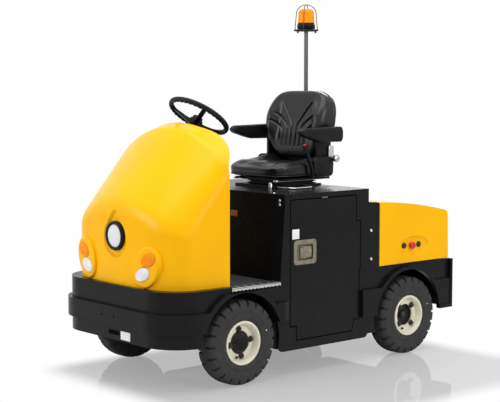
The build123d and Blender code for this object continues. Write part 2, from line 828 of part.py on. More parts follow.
def pod_plane():
    """The left pod's plane, square to the plan outline of the cowl, turned by the pod's lean."""
    a = cowl_half - cowl_corner
    k = cowl_side_depth + cowl_front_y - cowl_back_y
    crown = (cowl_corner ** 2 - a ** 2 - k ** 2) / (2 * (k + cowl_corner))
    out = pod_x / crown
    rise = crown * (1 - sqrt(1 - out ** 2))
    level = sqrt(1 - out ** 2)
    lean = radians(pod_lean)
    x_dir = (level * cos(lean), out * cos(lean), -sin(lean))
    return Plane(origin=(pod_x, cowl_front_y + rise, pod_z), x_dir=x_dir, z_dir=(out, -level, 0))


def pod(inset):
    """The pod's outside, or the space inside it."""
    face = Ellipse(pod_half[0] - inset, pod_half[1] - inset)
    height = pod_proud if inset == 0 else pod_proud - lamp_well - inset
    body = extrude(pod_plane() * Pos(0, 0, -45) * face, 45 + height)
    return fillet(body.edges().sort_by(Axis.Y)[0], 10) if inset == 0 else body


def lamp_oval(place, size, z):
    """An oval on the left pod: place is -1 for the low lamp and 1 for the high one."""
    at = pod_plane() * Pos(0, place * lamp_step, pod_proud + z[0]) * Rot(0, 0, lamp_turn)
    return extrude(at * Ellipse(size[0], size[1]), z[1] - z[0])


def build_cowl():
    outer = cowl_solid(0)
    inner = cowl_solid(moulding)
    for side in both_sides(pod(0)):
        outer += side
    for side in both_sides(pod(moulding)):
        inner += side
    cowl = (outer - teardrop(0)) - (inner - teardrop(moulding))
    for place in (-1, 1):
        for side in both_sides(lamp_oval(place, (lamp_half[0] + 1, lamp_half[1] + 1), (-lamp_well, 10))):
            cowl -= side
    return cowl


nodes["cowl"] = build_cowl()


def build_headlamp():
    """Bezel, well and domed lens turned about the lamp's axis, as (radius, distance from the floor)."""
    profile = [(0, 0), (80, 0), (80, 14), (75, 21), (67, 23), (60, 15), (42, 19), (22, 21), (0, 22)]
    lamp = revolve(make_face(Polyline(*profile, close=True)), Axis.Y)
    return Pos(0, cowl_front_y + drop_depth, lamp_z) * Rot(180, 0, 0) * lamp


def build_front_lamp(place):
    rim = lamp_oval(place, lamp_half, (-lamp_well, 1))
    return rim + lamp_oval(place, (lamp_half[0] - 5, lamp_half[1] - 5), (0, 3))


nodes["headlamp"] = build_headlamp()
nodes["indicators"] = Compound(both_sides(build_front_lamp(1)))
nodes["marker_lamps"] = Compound(both_sides(build_front_lamp(-1)))

# Steering: dash panel, column and wheel on one leaning line
steer_tilt = 34.0
wheel_centre_y = cowl_back_y + 181
wheel_centre_z = 1426.0
wheel_rim_radius = 185.0
wheel_rim_tube = 14.0
column_gap = 64.0
column_radius = 28.0
shaft_radius = 10.0
steer_plane = Plane(origin=(0, wheel_centre_y, wheel_centre_z), x_dir=(1, 0, 0),
                    z_dir=(0, sin(radians(steer_tilt)), cos(radians(steer_tilt))))


def build_dash():
    y = (cowl_back_y - 60, cowl_back_y - 48)
    panel = block((-cowl_half, cowl_half), y, (980, cowl_top_z - 30)) & cowl_solid(moulding)
    display = [
        (y[1] - 1, 1155),
        (y[1] - 1, 1255),
        (y[1] + 14, 1255),
        (y[1] + 38, 1155),
    ]
    panel += side_plate(display, (110, 260))
    for i in range(4):
        panel += Pos(-150 - 44 * i, y[1] + 3, 1150) * Box(30, 8, 24)
    return panel - steer_plane * Pos(0, 0, -400) * Cylinder(column_radius + 8, 560)


def build_column():
    tube = steer_plane * Pos(0, 0, -(column_gap + 300)) * Cylinder(column_radius, 600)
    boot = steer_plane * Pos(0, 0, -(column_gap + 85)) * Cone(54, column_radius, 130)
    foot_y = wheel_centre_y - (column_gap + 600) * sin(radians(steer_tilt))
    foot_z = wheel_centre_z - (column_gap + 540) * cos(radians(steer_tilt))
    shaft = steer_plane * Pos(0, 0, -column_gap + 7) * Cylinder(shaft_radius, 16)
    return tube + boot + shaft + block((-40, 40), (foot_y - 50, foot_y + 50), (floor_z, foot_z))


def build_steering_wheel():
    """Rim, deep hub and three spokes; the spoke's outline is (distance from the middle, height)."""
    reach = wheel_rim_radius - wheel_rim_tube
    parts = [Torus(reach, wheel_rim_tube), Pos(0, 0, -46) * Cylinder(38, 32), Pos(0, 0, -26) * Cylinder(30, 12)]
    outline = [(20, -60), (20, -36), (70, -26), (reach, 4), (reach, -7), (80, -40), (36, -60)]
    face = make_face(Polyline(*outline, close=True))
    blade = extrude(Plane(origin=(0, 13, 0), x_dir=(1, 0, 0), z_dir=(0, -1, 0)) * face, 26)
    for angle in (90, 210, 330):
        parts.append(Rot(0, 0, angle) * blade)
    bore = Pos(0, 0, -column_gap + 7) * Cylinder(shaft_radius + running_gap, 20)
    return steer_plane * (fuse(parts) - bore)


nodes["dash_panel"] = build_dash()
nodes["steering_column"] = build_column()
nodes["steering_wheel"] = build_steering_wheel()


# Pedals on the floor inside the cowl
def build_pedals():
    """Two pedals, each a leaning pad on a bent arm that stands on the floor."""
    y = cowl_back_y - 115
    pad = [(y, floor_z + 32), (y + 12, floor_z + 28), (y - 38, floor_z + 140), (y - 50, floor_z + 136)]
    arm = [(y - 90, floor_z), (y - 60, floor_z), (y - 18, floor_z + 72), (y - 30, floor_z + 88)]
    pedals = []
    for x, half in ((-90.0, 34.0), (-225.0, 42.0)):
        pedals.append(side_plate(pad, (x - half, x + half)) + side_plate(arm, (x - 8, x + 8)))
    return Compound(pedals)


nodes["pedals"] = build_pedals()

# Seat on the deck
seat_length = 465.0
seat_back_y = rear_strip_y + 32
seat_front_y = seat_back_y - seat_length
cushion_z = (1056.0, 1165.0)
cushion_half = 240.0
seat_base_half = 175.0
seat_base_thick = 14.0


def build_seat_suspension():
    """Base frame, ribbed bellows, top plate and two slide rails."""
    y = (seat_front_y + 70, seat_back_y - 80)
    z = cushion_z[0]
    parts = [block((-seat_base_half, seat_base_half), (seat_front_y + 15, y[1]),
                   (deck_top_z, deck_top_z + seat_base_thick))]
    for i in range(2):
        low = deck_top_z + seat_base_thick - 1 + 12 * i
        parts.append(block((-150, 150), (y[0] + 20, y[1] - 20), (low, low + 6)))
        parts.append(block((-138, 138), (y[0] + 32, y[1] - 32), (low + 5, low + 13)))
    parts.append(block((-180, 180), (y[0] - 10, y[1] + 10), (deck_top_z + 37, z)))
    for x in ((-195, -165), (165, 195)):
        parts.append(block(x, (y[0] - 40, y[1] + 50), (z - 12, z)))
    return fuse(parts)


def build_release_bar():
    """The silver loop under the seat's left front edge."""
    r = 6.0
    z = deck_top_z + seat_base_thick / 2
    x = (seat_base_half, 300.0)
    y = (seat_front_y + 35, seat_front_y + 203)
    bend = 30.0
    mid = bend * (1 - sqrt(0.5))
    path = Wire([
        Line((x[0], y[0], z), (x[1] - bend, y[0], z)),
        ThreePointArc((x[1] - bend, y[0], z), (x[1] - mid, y[0] + mid, z), (x[1], y[0] + bend, z)),
        Line((x[1], y[0] + bend, z), (x[1], y[1] - bend, z)),
        ThreePointArc((x[1], y[1] - bend, z), (x[1] - mid, y[1] - mid, z), (x[1] - bend, y[1], z)),
        Line((x[1] - bend, y[1], z), (x[0], y[1], z)),
    ])
    return sweep(Plane(origin=(x[0], y[0], z), z_dir=(1, 0, 0)) * Circle(r), path)


def build_cushion():
    y = (seat_front_y, seat_back_y - 50)
    body = block((-cushion_half, cushion_half), y, cushion_z)
    body = fillet(body.edges().filter_by(Axis.Z), 50)
    return fillet(body.edges().group_by(Axis.Z)[-1], 28)


def build_seat_back():
    """A leaning pad, narrow above the cushion and widest at the shoulders, with a round top."""
    top = 1560.0
    outline = [
        (seat_back_y - 160, cushion_z[1]),
        (seat_back_y - 85, top),
        (seat_back_y, top),
        (seat_back_y - 45, cushion_z[1]),
    ]
    body = side_plate(outline, (-cushion_half, cushion_half))
    low = cushion_z[1]
    front = [
        Line((-190, low), (190, low)),
        ThreePointArc((190, low), (cushion_half - 12, low + 110), (cushion_half, low + 230)),
        ThreePointArc((cushion_half, low + 230), (185, top - 45), (0, top)),
        ThreePointArc((0, top), (-185, top - 45), (-cushion_half, low + 230)),
        ThreePointArc((-cushion_half, low + 230), (12 - cushion_half, low + 110), (-190, low)),
    ]
    plane = Plane(origin=(0, seat_back_y - 200, 0), x_dir=(-1, 0, 0), z_dir=(0, 1, 0))
    return body & extrude(plane * make_face(front), 240)


arm_pivot_y = seat_back_y - 80
arm_pivot_z = 1305.0
arm_x = (cushion_half + 32, cushion_half + 88)


def build_armrest():
    """A pad that tapers to a round nose, seen from the side, on a pivot pin."""
    back = arm_pivot_y + 25
    nose = (seat_front_y + 90, arm_pivot_z + 14)
    wire = [
        Line((back, arm_pivot_z - 30), (back, arm_pivot_z + 40)),
        Line((back, arm_pivot_z + 40), (nose[0] + 20, nose[1] + 20)),
        ThreePointArc((nose[0] + 20, nose[1] + 20), nose, (nose[0] + 20, nose[1] - 20)),
        Line((nose[0] + 20, nose[1] - 20), (back - 130, arm_pivot_z - 30)),
        Line((back - 130, arm_pivot_z - 30), (back, arm_pivot_z - 30)),
    ]
    plane = Plane(origin=(arm_x[0], 0, 0), x_dir=(0, 1, 0), z_dir=(1, 0, 0))
    pad = extrude(plane * make_face(wire), arm_x[1] - arm_x[0])
    pad = fillet(pad.edges().filter_by(lambda e: abs(e.center().X - arm_x[1]) < 1), 8)
    return pad + rod_x(12, (cushion_half - 4, arm_x[0] + 1), arm_pivot_y, arm_pivot_z)


nodes["seat_suspension"] = build_seat_suspension()
nodes["seat_release_bar"] = build_release_bar()
nodes["seat_cushion"] = build_cushion()
nodes["seat_back"] = build_seat_back()
for side_name, armrest in zip(("left", "right"), both_sides(build_armrest())):
    nodes[side_name + "_armrest"] = armrest

# Beacon on its pole
pole_x = -75.0
pole_y = rear_strip_y + 60
pole_radius = 12.5
pole_top_z = 1915.0


def build_pole():
    pole = rod_z(pole_radius, pole_x, pole_y, (rear_top_z - 8, pole_top_z))
    foot = rod_z(26, pole_x, pole_y, (rear_top_z - 8, rear_top_z + 12))
    strip_top = [
        (rear_strip_y, rear_top_z - 60),
        (rear_strip_y, rear_top_z + 6),
        (cover_front_y, rear_top_z - 2),
        (cover_front_y, rear_top_z - 60),
    ]
    under = side_plate(strip_top, (pole_x - 40, pole_x + 40))
    return pole + foot - under


def build_beacon_lens():
    base = rod_z(54, pole_x, pole_y, (pole_top_z + 14, pole_top_z + 51))
    lens = rod_z(50, pole_x, pole_y, (pole_top_z + 51, pole_top_z + 135))
    return base + chamfer(lens.edges().sort_by(Axis.Z)[-1], 8)


guard_radius = 72.0
guard_wire = 3.0
guard_bend = 26.0
guard_top_z = 2077.0


def guard_hoop():
    """A flat-sided wire up one side, over the top between two round bends and down the other."""
    z0 = pole_top_z + 8
    z1 = guard_top_z - guard_wire
    r = guard_radius
    bend = guard_bend
    mid = bend * (1 - sqrt(0.5))
    path = Wire([
        Line((-r, 0, z0), (-r, 0, z1 - bend)),
        ThreePointArc((-r, 0, z1 - bend), (-r + mid, 0, z1 - mid), (-r + bend, 0, z1)),
        Line((-r + bend, 0, z1), (r - bend, 0, z1)),
        ThreePointArc((r - bend, 0, z1), (r - mid, 0, z1 - mid), (r, 0, z1 - bend)),
        Line((r, 0, z1 - bend), (r, 0, z0)),
    ])
    return sweep(Plane(origin=(-r, 0, z0), z_dir=(0, 0, 1)) * RegularPolygon(guard_wire, 6), path)


def build_guard():
    """A shallow dish on the pole, four hoop legs and two rings of wire."""
    dish = rod_z(guard_radius + guard_wire, 0, 0, (pole_top_z, pole_top_z + 14))
    hoops = guard_hoop() + Rot(0, 0, 90) * guard_hoop()
    body = hoops + chamfer(dish.edges().sort_by(Axis.Z)[0], 9)
    for z in (pole_top_z + 62, pole_top_z + 112):
        ring = Circle(guard_radius + guard_wire) - Circle(guard_radius - guard_wire)
        body += extrude(Pos(0, 0, z) * ring, 2 * guard_wire)
    return Pos(pole_x, pole_y, 0) * body


nodes["beacon_pole"] = build_pole()
nodes["beacon_lens"] = build_beacon_lens()
nodes["beacon_guard"] = build_guard()

for name, shape in nodes.items():
    export_step(shape, "parts/" + name + ".step")
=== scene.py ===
import math

import bmesh
import bpy
import numpy as np
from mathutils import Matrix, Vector


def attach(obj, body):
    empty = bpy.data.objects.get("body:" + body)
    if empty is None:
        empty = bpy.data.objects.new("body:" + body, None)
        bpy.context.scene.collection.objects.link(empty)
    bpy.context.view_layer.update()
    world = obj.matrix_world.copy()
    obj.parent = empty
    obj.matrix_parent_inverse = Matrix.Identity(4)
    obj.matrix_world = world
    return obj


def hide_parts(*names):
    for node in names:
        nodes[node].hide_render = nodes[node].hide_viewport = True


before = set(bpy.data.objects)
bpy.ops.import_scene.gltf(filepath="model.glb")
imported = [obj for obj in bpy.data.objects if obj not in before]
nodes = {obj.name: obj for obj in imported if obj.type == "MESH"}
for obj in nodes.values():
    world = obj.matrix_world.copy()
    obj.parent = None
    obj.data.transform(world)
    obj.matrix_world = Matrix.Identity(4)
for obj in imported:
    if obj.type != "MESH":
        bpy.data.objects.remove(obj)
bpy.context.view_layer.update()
print("tow tractor: CAD loaded,", len(nodes), "nodes")

# Places shared by several pieces, in metres: forward is -Y, the left side is +X
faceX = 0.522  # the flat of the side panels
frontAxleY = -0.620
rearAxleY = 0.670
wheelX = 0.481
axleZ = 0.231
endsAndAxles = (("front", frontAxleY), ("rear", rearAxleY))
sides = (("left", 1.0), ("right", -1.0))


# Surfaces: every piece is one or more closed shells of (points, quads, triangles)

def gridQuads(rows, columns, closedRows):
    # quads between neighbours of a grid whose columns run round and whose rows may do so too
    row, column = np.meshgrid(np.arange(rows if closedRows else rows - 1), np.arange(columns), indexing="ij")
    nextRow, nextColumn = (row + 1) % rows, (column + 1) % columns
    quads = [row * columns + column, row * columns + nextColumn,
             nextRow * columns + nextColumn, nextRow * columns + column]
    return np.stack(quads, -1).reshape(-1, 4)


def shell(grid, ring=False):
    # a grid of rings made into a closed surface: joined end to end, or closed by one point at each end
    rows, columns, _ = grid.shape
    points = grid.reshape(-1, 3)
    quads = gridQuads(rows, columns, ring)
    triangles = np.empty((0, 3), int)
    if not ring:
        around = np.arange(columns)
        following = (around + 1) % columns
        last = (rows - 1) * columns
        count = len(points)
        points = np.vstack([points, grid[0].mean(0), grid[-1].mean(0)])
        first = np.stack([following, around, np.full(columns, count)], -1)
        second = np.stack([last + around, last + following, np.full(columns, count + 1)], -1)
        triangles = np.vstack([first, second])
    # six times the signed volume tells whether the faces point outwards
    a, b, c, d = (points[quads[:, i]] for i in range(4))
    volume = (a * np.cross(b, c)).sum() + (a * np.cross(c, d)).sum()
    a, b, c = (points[triangles[:, i]] for i in range(3))
    volume += (a * np.cross(b, c)).sum()
    if volume < 0:
        quads, triangles = quads[:, ::-1], triangles[:, ::-1]
    return points, quads, triangles


def mirrored(one):
    # the shell on the other side of the vehicle, with its faces turned the right way again
    points, quads, triangles = one
    return points * (-1, 1, 1), quads[:, ::-1], triangles[:, ::-1]


def axes(normal):
    # two unit directions square to the normal
    normal = np.array(normal, float) / np.linalg.norm(normal)
    helper = np.array((0.0, 0.0, 1.0)) if abs(normal[2]) < 0.9 else np.array((0.0, 1.0, 0.0))
    across = np.cross(helper, normal)
    across /= np.linalg.norm(across)
    return across, np.cross(normal, across), normal


def turned(profile, centre, axis, steps=48, ring=False, flutes=0, fluteDepth=0.0):
    # profile of (radius, height) turned about the axis; flutes add a cosine of the angle to the radius
    across, along, normal = axes(axis)
    radius, height = np.array(profile, float).T
    angle = 2 * np.pi * np.arange(steps) / steps
    wave = 1 + fluteDepth * np.cos(flutes * angle) if flutes else np.ones(steps)
    spokes = np.outer(np.cos(angle) * wave, across) + np.outer(np.sin(angle) * wave, along)
    grid = np.array(centre) + radius[:, None, None] * spokes + (height[:, None] * normal)[:, None, :]
    return shell(grid, ring)


def outline(half, corner, steps=8):
    # a rounded rectangle: quarter circles of the corner radius, set out to the straight sides
    turn = np.linspace(0, np.pi / 2, steps)
    quarters = []
    for i, (a, b) in enumerate(((1, 1), (-1, 1), (-1, -1), (1, -1))):
        angle = turn + i * np.pi / 2
        quarters.append(np.stack([a * (half[0] - corner) + corner * np.cos(angle),
                                  b * (half[1] - corner) + corner * np.sin(angle)], -1))
    return np.vstack(quarters)


def raised(centre, normal, half, corner, steps, ring=False):
    # a rounded rectangle carried through steps of (inset, level): smaller by the inset, up the normal
    sideways, upwards, normal = axes(normal)
    rings = []
    for inset, level in steps:
        flat = outline((half[0] - inset, half[1] - inset), max(corner - inset, 0.0002))
        rings.append(np.array(centre) + flat[:, :1] * sideways + flat[:, 1:] * upwards + level * normal)
    return shell(np.array(rings), ring)


def plate(centre, normal, half, height, corner, edge=0.0008):
    # a flat plate with a small rounded edge on top
    steps = ((0, 0), (0, height - edge), (edge * 0.3, height - edge * 0.3), (edge, height))
    return raised(centre, normal, half, corner, steps)


def frameRing(centre, normal, half, width, height, corner):
    # a raised border: the outline going up, in across its top and down again
    return raised(centre, normal, half, corner, ((0, 0), (0, height), (width, height), (width, 0)), ring=True)


def softPath(points, count=60, blur=7):
    # straight runs between the points, sampled evenly and rounded by a moving average
    points = np.array(points, float)
    length = np.concatenate([[0], np.cumsum(np.linalg.norm(np.diff(points, axis=0), axis=1))])
    at = np.linspace(0, length[-1], count)
    path = np.stack([np.interp(at, length, points[:, i]) for i in range(3)], -1)
    padded = np.vstack([np.repeat(path[:1], blur // 2, 0), path, np.repeat(path[-1:], blur // 2, 0)])
    return np.stack([np.convolve(padded[:, i], np.ones(blur) / blur, "valid") for i in range(3)], -1)


def tube(path, radius, steps=14, ring=False, helper=(0, 0, 1)):
    # circles of the radius carried along the path, square to it
    path = np.array(path, float)
    step = (np.roll(path, -1, 0) - np.roll(path, 1, 0)) if ring else np.gradient(path, axis=0)
    step /= np.linalg.norm(step, axis=1)[:, None]
    side = np.cross(step, helper)
    side /= np.linalg.norm(side, axis=1)[:, None]
    up = np.cross(side, step)
    angle = 2 * np.pi * np.arange(steps) / steps
    radius = np.broadcast_to(radius, len(path))[:, None, None]
    grid = path[:, None, :] + radius * (np.cos(angle)[None, :, None] * side[:, None, :]
                                        + np.sin(angle)[None, :, None] * up[:, None, :])
    return shell(grid, ring)


def smooth(value, low, high):
    # 0 below low, 1 above high, with an even ease between them
    t = np.clip((value - low) / (high - low), 0, 1)
    return t * t * (3 - 2 * t)


def makePiece(name, shells, material, body, flat=False):
    # joins the shells in one mesh, gives it its finish and lets it ride on its body
    points, faces, start = [], [], 0
    for shellPoints, quads, triangles in shells:
        points.append(shellPoints)
        faces += (quads + start).tolist() + (triangles + start).tolist()
        start += len(shellPoints)
    mesh = bpy.data.meshes.new(name)
    mesh.from_pydata(np.vstack(points).tolist(), [], faces)
    mesh.materials.append(material)
    mesh.polygons.foreach_set("use_smooth", np.full(len(faces), not flat))
    piece = bpy.data.objects.new(name, mesh)
    bpy.context.collection.objects.link(piece)
    if not flat:
        mesh.set_sharp_from_angle(angle=math.radians(40))
    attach(piece, body)
    return piece


# Materials

def linear(hexColour):
    # an sRGB hex colour in linear light, with full opacity
    value = np.array([int(hexColour[i:i + 2], 16) for i in (1, 3, 5)]) / 255
    value = np.where(value <= 0.04045, value / 12.92, ((value + 0.055) / 1.055) ** 2.4)
    return (*value.tolist(), 1.0)


def addNode(tree, kind, settings=None, inputs=None):
    # one node with its settings; an input is a plain value or the socket that it is linked from
    node = tree.nodes.new("ShaderNode" + kind)
    for key, value in (settings or {}).items():
        setattr(node, key, value)
    for key, value in (inputs or {}).items():
        if isinstance(value, bpy.types.NodeSocket):
            tree.links.new(value, node.inputs[key])
        else:
            node.inputs[key].default_value = value
    return node


def finish(name, colour, look, grain=None, mottle=None, dust=None, flakes=None):
    # A material from its colour and look. grain (spacing mm, depth mm) is a bump from noise, mottle
    # (spacing mm, second colour, share) varies the colour, dust (colour, top in m, share) settles
    # below a height and flakes (spacing mm, colour, share) are small spots of another colour.
    material = bpy.data.materials.new(name)
    material.use_nodes = True
    tree = material.node_tree
    shader = tree.nodes["Principled BSDF"]
    for key, value in look.items():
        shader.inputs[key].default_value = value
    shader.inputs["Base Color"].default_value = linear(colour)
    place = addNode(tree, "TexCoord").outputs["Object"]
    current = None
    wear = addNode(tree, "TexNoise", None, {"Vector": place, "Scale": 7.0, "Detail": 6.0, "Roughness": 0.6})
    rough = look["Roughness"]
    spread = addNode(tree, "MapRange", None, {"Value": wear.outputs["Fac"], "From Min": 0.3, "From Max": 0.7,
                                              "To Min": rough * 0.86, "To Max": min(rough * 1.2, 1.0)})
    tree.links.new(spread.outputs["Result"], shader.inputs["Roughness"])
    layers = []
    if mottle:
        spots = addNode(tree, "TexNoise", None, {"Vector": place, "Scale": 1000 / mottle[0], "Detail": 4.0})
        share = addNode(tree, "MapRange", None, {"Value": spots.outputs["Fac"], "From Min": 0.4,
                                                 "From Max": 0.68, "To Max": mottle[2]})
        layers.append((share.outputs["Result"], mottle[1]))
    if flakes:
        cells = addNode(tree, "TexVoronoi", None, {"Vector": place, "Scale": 1000 / flakes[0]})
        pick = addNode(tree, "MapRange", None, {"Value": cells.outputs["Distance"], "From Min": 0.28,
                                                "From Max": 0.12, "To Max": flakes[2]})
        layers.append((pick.outputs["Result"], flakes[1]))
    if dust:
        height = addNode(tree, "SeparateXYZ", None, {"Vector": place})
        low = addNode(tree, "MapRange", None, {"Value": height.outputs["Z"], "From Min": dust[1],
                                               "From Max": dust[1] * 0.2, "To Max": dust[2]})
        patch = addNode(tree, "Math", {"operation": "MULTIPLY"}, {0: low.outputs["Result"],
                                                                  1: wear.outputs["Fac"]})
        layers.append((patch.outputs["Value"], dust[0]))
    for factor, other in layers:
        mix = addNode(tree, "Mix", {"data_type": "RGBA"}, {0: factor, 6: linear(colour), 7: linear(other)})
        if current:
            tree.links.new(current, mix.inputs[6])
        current = mix.outputs[2]
    if current:
        tree.links.new(current, shader.inputs["Base Color"])
    if grain:
        fine = addNode(tree, "TexNoise", None, {"Vector": place, "Scale": 1000 / grain[0], "Detail": 3.0})
        bump = addNode(tree, "Bump", None, {"Height": fine.outputs["Fac"], "Strength": 0.6,
                                            "Distance": grain[1] / 1000})
        tree.links.new(bump.outputs["Normal"], shader.inputs["Normal"])
    return material


# Powder-coated sheet steel: satin, with a soft orange peel drawn at 5 mm, coarser than the real 1.5 mm
blackPowderCoat = finish("satinBlackPowderCoat", "#101112",
                         {"Roughness": 0.27, "IOR": 1.5, "Specular IOR Level": 0.12},
                         grain=(5.0, 0.05), mottle=(180.0, "#161718", 0.7), dust=("#4A463F", 0.55, 0.10))
# The same coat on heavier castings and forgings: duller and dustier
blackCastPaint = finish("mattPaintedCasting", "#151516",
                        {"Roughness": 0.62, "IOR": 1.5, "Specular IOR Level": 0.3},
                        grain=(3.0, 0.4), mottle=(60.0, "#242321", 0.8), dust=("#6F675A", 0.45, 0.25))
# Glass-fibre moulding with a yellow gelcoat: even colour, clear soft highlights, faint waves at 90 mm
yellowGelcoat = finish("yellowGelcoat", "#FFBC00",
                       {"Roughness": 0.26, "IOR": 1.5, "Specular IOR Level": 0.14},
                       grain=(90.0, 1.2), mottle=(260.0, "#FBB600", 0.8))
# Black rubber, moulded: a brown-grey bloom and a dull, slightly rough skin
tyreRubber = finish("mouldedTyreRubber", "#242425",
                    {"Roughness": 0.74, "IOR": 1.52, "Specular IOR Level": 0.4},
                    grain=(2.5, 0.25), mottle=(45.0, "#302F2E", 0.8), dust=("#57524B", 0.46, 0.16))
# Pressed steel rim in cream enamel: glossy, a little dust in the dish
creamEnamel = finish("creamEnamel", "#E9E4D0", {"Roughness": 0.32, "IOR": 1.5, "Coat Weight": 0.2},
                     grain=(6.0, 0.06), mottle=(30.0, "#D6CFB8", 0.5), dust=("#A39A86", 0.36, 0.22))
# Rubber floor mat with a granular top: pale grit shows through the black
grittyMat = finish("grittyFloorMat", "#1C1C1D", {"Roughness": 0.8, "IOR": 1.5},
                   grain=(4.0, 1.2), flakes=(5.0, "#6D6D70", 0.75))
# Punched aluminium tread plate, mill finish
millAluminium = finish("millAluminium", "#CFCFCB", {"Metallic": 1.0, "Roughness": 0.36},
                       grain=(8.0, 0.10), mottle=(25.0, "#A9A9A5", 0.6))
# Die-cast latch in pale yellow passivated zinc: warm grey metal
passivatedZinc = finish("passivatedZinc", "#8F8A78", {"Metallic": 0.9, "Roughness": 0.34},
                        grain=(3.0, 0.08), mottle=(22.0, "#6E6855", 0.7))
# Bright zinc plate on wire, bolts and pins
brightZinc = finish("brightZincPlate", "#C6C9CC", {"Metallic": 1.0, "Roughness": 0.28},
                    mottle=(12.0, "#9EA2A6", 0.6))
# Steel plated dark, on nuts and wire
darkNut = finish("darkPlatedSteel", "#4A4844", {"Metallic": 0.9, "Roughness": 0.42},
                 mottle=(8.0, "#2B2927", 0.8))
# Vinyl over moulded foam: soft sheen, leather grain drawn at 3 mm
seatVinyl = finish("blackSeatVinyl", "#101112", {"Roughness": 0.27, "IOR": 1.5, "Specular IOR Level": 0.36},
                   grain=(3.0, 0.12), mottle=(70.0, "#151618", 0.8))
# Injection-moulded ABS with a fine eroded texture
blackAbs = finish("texturedBlackAbs", "#101112", {"Roughness": 0.40, "IOR": 1.53, "Specular IOR Level": 0.14},
                  grain=(2.0, 0.12), mottle=(90.0, "#17181A", 0.7))
# Tube with a grey metallic paint: streaky and fairly glossy
greyTubePaint = finish("greyPaintedTube", "#5A5B57", {"Roughness": 0.26, "IOR": 1.5, "Metallic": 0.9},
                       mottle=(40.0, "#50514E", 0.4))
# Grey moulded case, dull, with a fine grain
batteryCase = finish("greyBatteryCase", "#494D52", {"Roughness": 0.55, "IOR": 1.5},
                     grain=(4.0, 0.15), mottle=(120.0, "#3B3E42", 0.7))
# Moulded push buttons: bright, smooth red
redAbs = finish("redPushButton", "#D0251C", {"Roughness": 0.3, "IOR": 1.5}, mottle=(10.0, "#B51D16", 0.5))
# Vinyl film: one clean white, one faded brown
blankLabel = finish("blankVinylLabel", "#EFEFEB", {"Roughness": 0.4, "IOR": 1.46},
                    mottle=(9.0, "#DADAD4", 0.4))
brownLabel = finish("fadedLabel", "#B5713C", {"Roughness": 0.5, "IOR": 1.46}, mottle=(9.0, "#8F5A34", 0.6))
# Lamp bowls: white enamel behind the oval lenses, bright metal film behind the head lamp's lens
whiteReflector = finish("whiteReflector", "#F4F4F2", {"Roughness": 0.25, "IOR": 1.5},
                        mottle=(6.0, "#DDDDDB", 0.3))
chromeBowl = finish("vacuumMetalReflector", "#E6E8EA", {"Metallic": 1.0, "Roughness": 0.12},
                    mottle=(9.0, "#C9CCD0", 0.3))
# Moulded polycarbonate lenses
clearLens = finish("clearPolycarbonate", "#FDFEFF",
                   {"Roughness": 0.10, "IOR": 1.58, "Transmission Weight": 0.2},
                   mottle=(12.0, "#E6EBEE", 0.3))
amberLens = finish("amberPolycarbonate", "#FF9A00",
                   {"Roughness": 0.18, "IOR": 1.58, "Transmission Weight": 0.05, "Specular IOR Level": 0.08},
                   mottle=(12.0, "#FF7A00", 0.5))
redLens = finish("redPolycarbonate", "#C2160F", {"Roughness": 0.12, "IOR": 1.58, "Transmission Weight": 0.3},
                 mottle=(12.0, "#A8120C", 0.4))
# Openings with no light in them: dull, near black
deepShade = finish("unlitOpening", "#050505", {"Roughness": 0.9, "IOR": 1.45, "Specular IOR Level": 0.05},
                   mottle=(20.0, "#080808", 0.5))
# Display glass over a dark film: very smooth
darkGlass = finish("displayGlass", "#101417", {"Roughness": 0.08, "IOR": 1.5}, mottle=(60.0, "#151A1E", 0.5))

nodeFinishes = {
    blackPowderCoat: ["chassis_frame", "front_skirt", "front_bumper", "side_frames", "bulkhead", "seat_deck",
                      "rear_body", "left_door", "right_door"],
    blackCastPaint: ["front_axle", "drive_axle", "left_knuckle", "right_knuckle", "tie_rod", "tow_coupling"]
    + [endName + "_" + sideName + "_hub" for endName, _ in endsAndAxles for sideName, _ in sides],
    yellowGelcoat: ["cowl", "rear_cover"],
    creamEnamel: [endName + "_" + sideName + "_rim" for endName, _ in endsAndAxles for sideName, _ in sides],
    grittyMat: ["floor_plate"],
    millAluminium: ["step_treads"],
    passivatedZinc: ["left_latch", "right_latch"],
    brightZinc: ["beacon_guard", "tow_pin", "seat_release_bar"],
    blackAbs: ["dash_panel", "steering_column", "steering_wheel", "pedals", "seat_suspension"],
    greyTubePaint: ["beacon_pole"],
    batteryCase: ["battery"],
    redAbs: ["stop_buttons"],
    redLens: ["tail_lamps"],
}
for material, names in nodeFinishes.items():
    for nodeName in names:
        for materialSlot in nodes[nodeName].material_slots:
            materialSlot.material = material
print("tow tractor: materials given to the CAD nodes")


# Cowl: a merged copy of the CAD's moulding with its upper rim drawn back over the panel, like a hood
hood = {"drawn": 0.080, "from": 1.15, "to": 1.32, "crownFrom": 1.33, "crownTo": 1.40, "crownEase": 0.035,
        "crownDrop": 0.010, "startY": -0.706, "rimY": -0.669, "cuts": 7}
hoodWork = bmesh.new()
hoodWork.from_mesh(nodes["cowl"].data)
bmesh.ops.remove_doubles(hoodWork, verts=hoodWork.verts[:], dist=1e-6)
for cutY in np.linspace(hood["startY"], hood["rimY"], hood["cuts"], endpoint=False):
    everything = hoodWork.verts[:] + hoodWork.edges[:] + hoodWork.faces[:]
    bmesh.ops.bisect_plane(hoodWork, geom=everything, dist=1e-6, plane_co=(0, cutY, 0), plane_no=(0, 1, 0))
hoodMesh = bpy.data.meshes.new("cowlHood")
hoodWork.to_mesh(hoodMesh)
hoodWork.free()
points = np.empty(len(hoodMesh.vertices) * 3)
hoodMesh.vertices.foreach_get("co", points)
points = points.reshape(-1, 3)
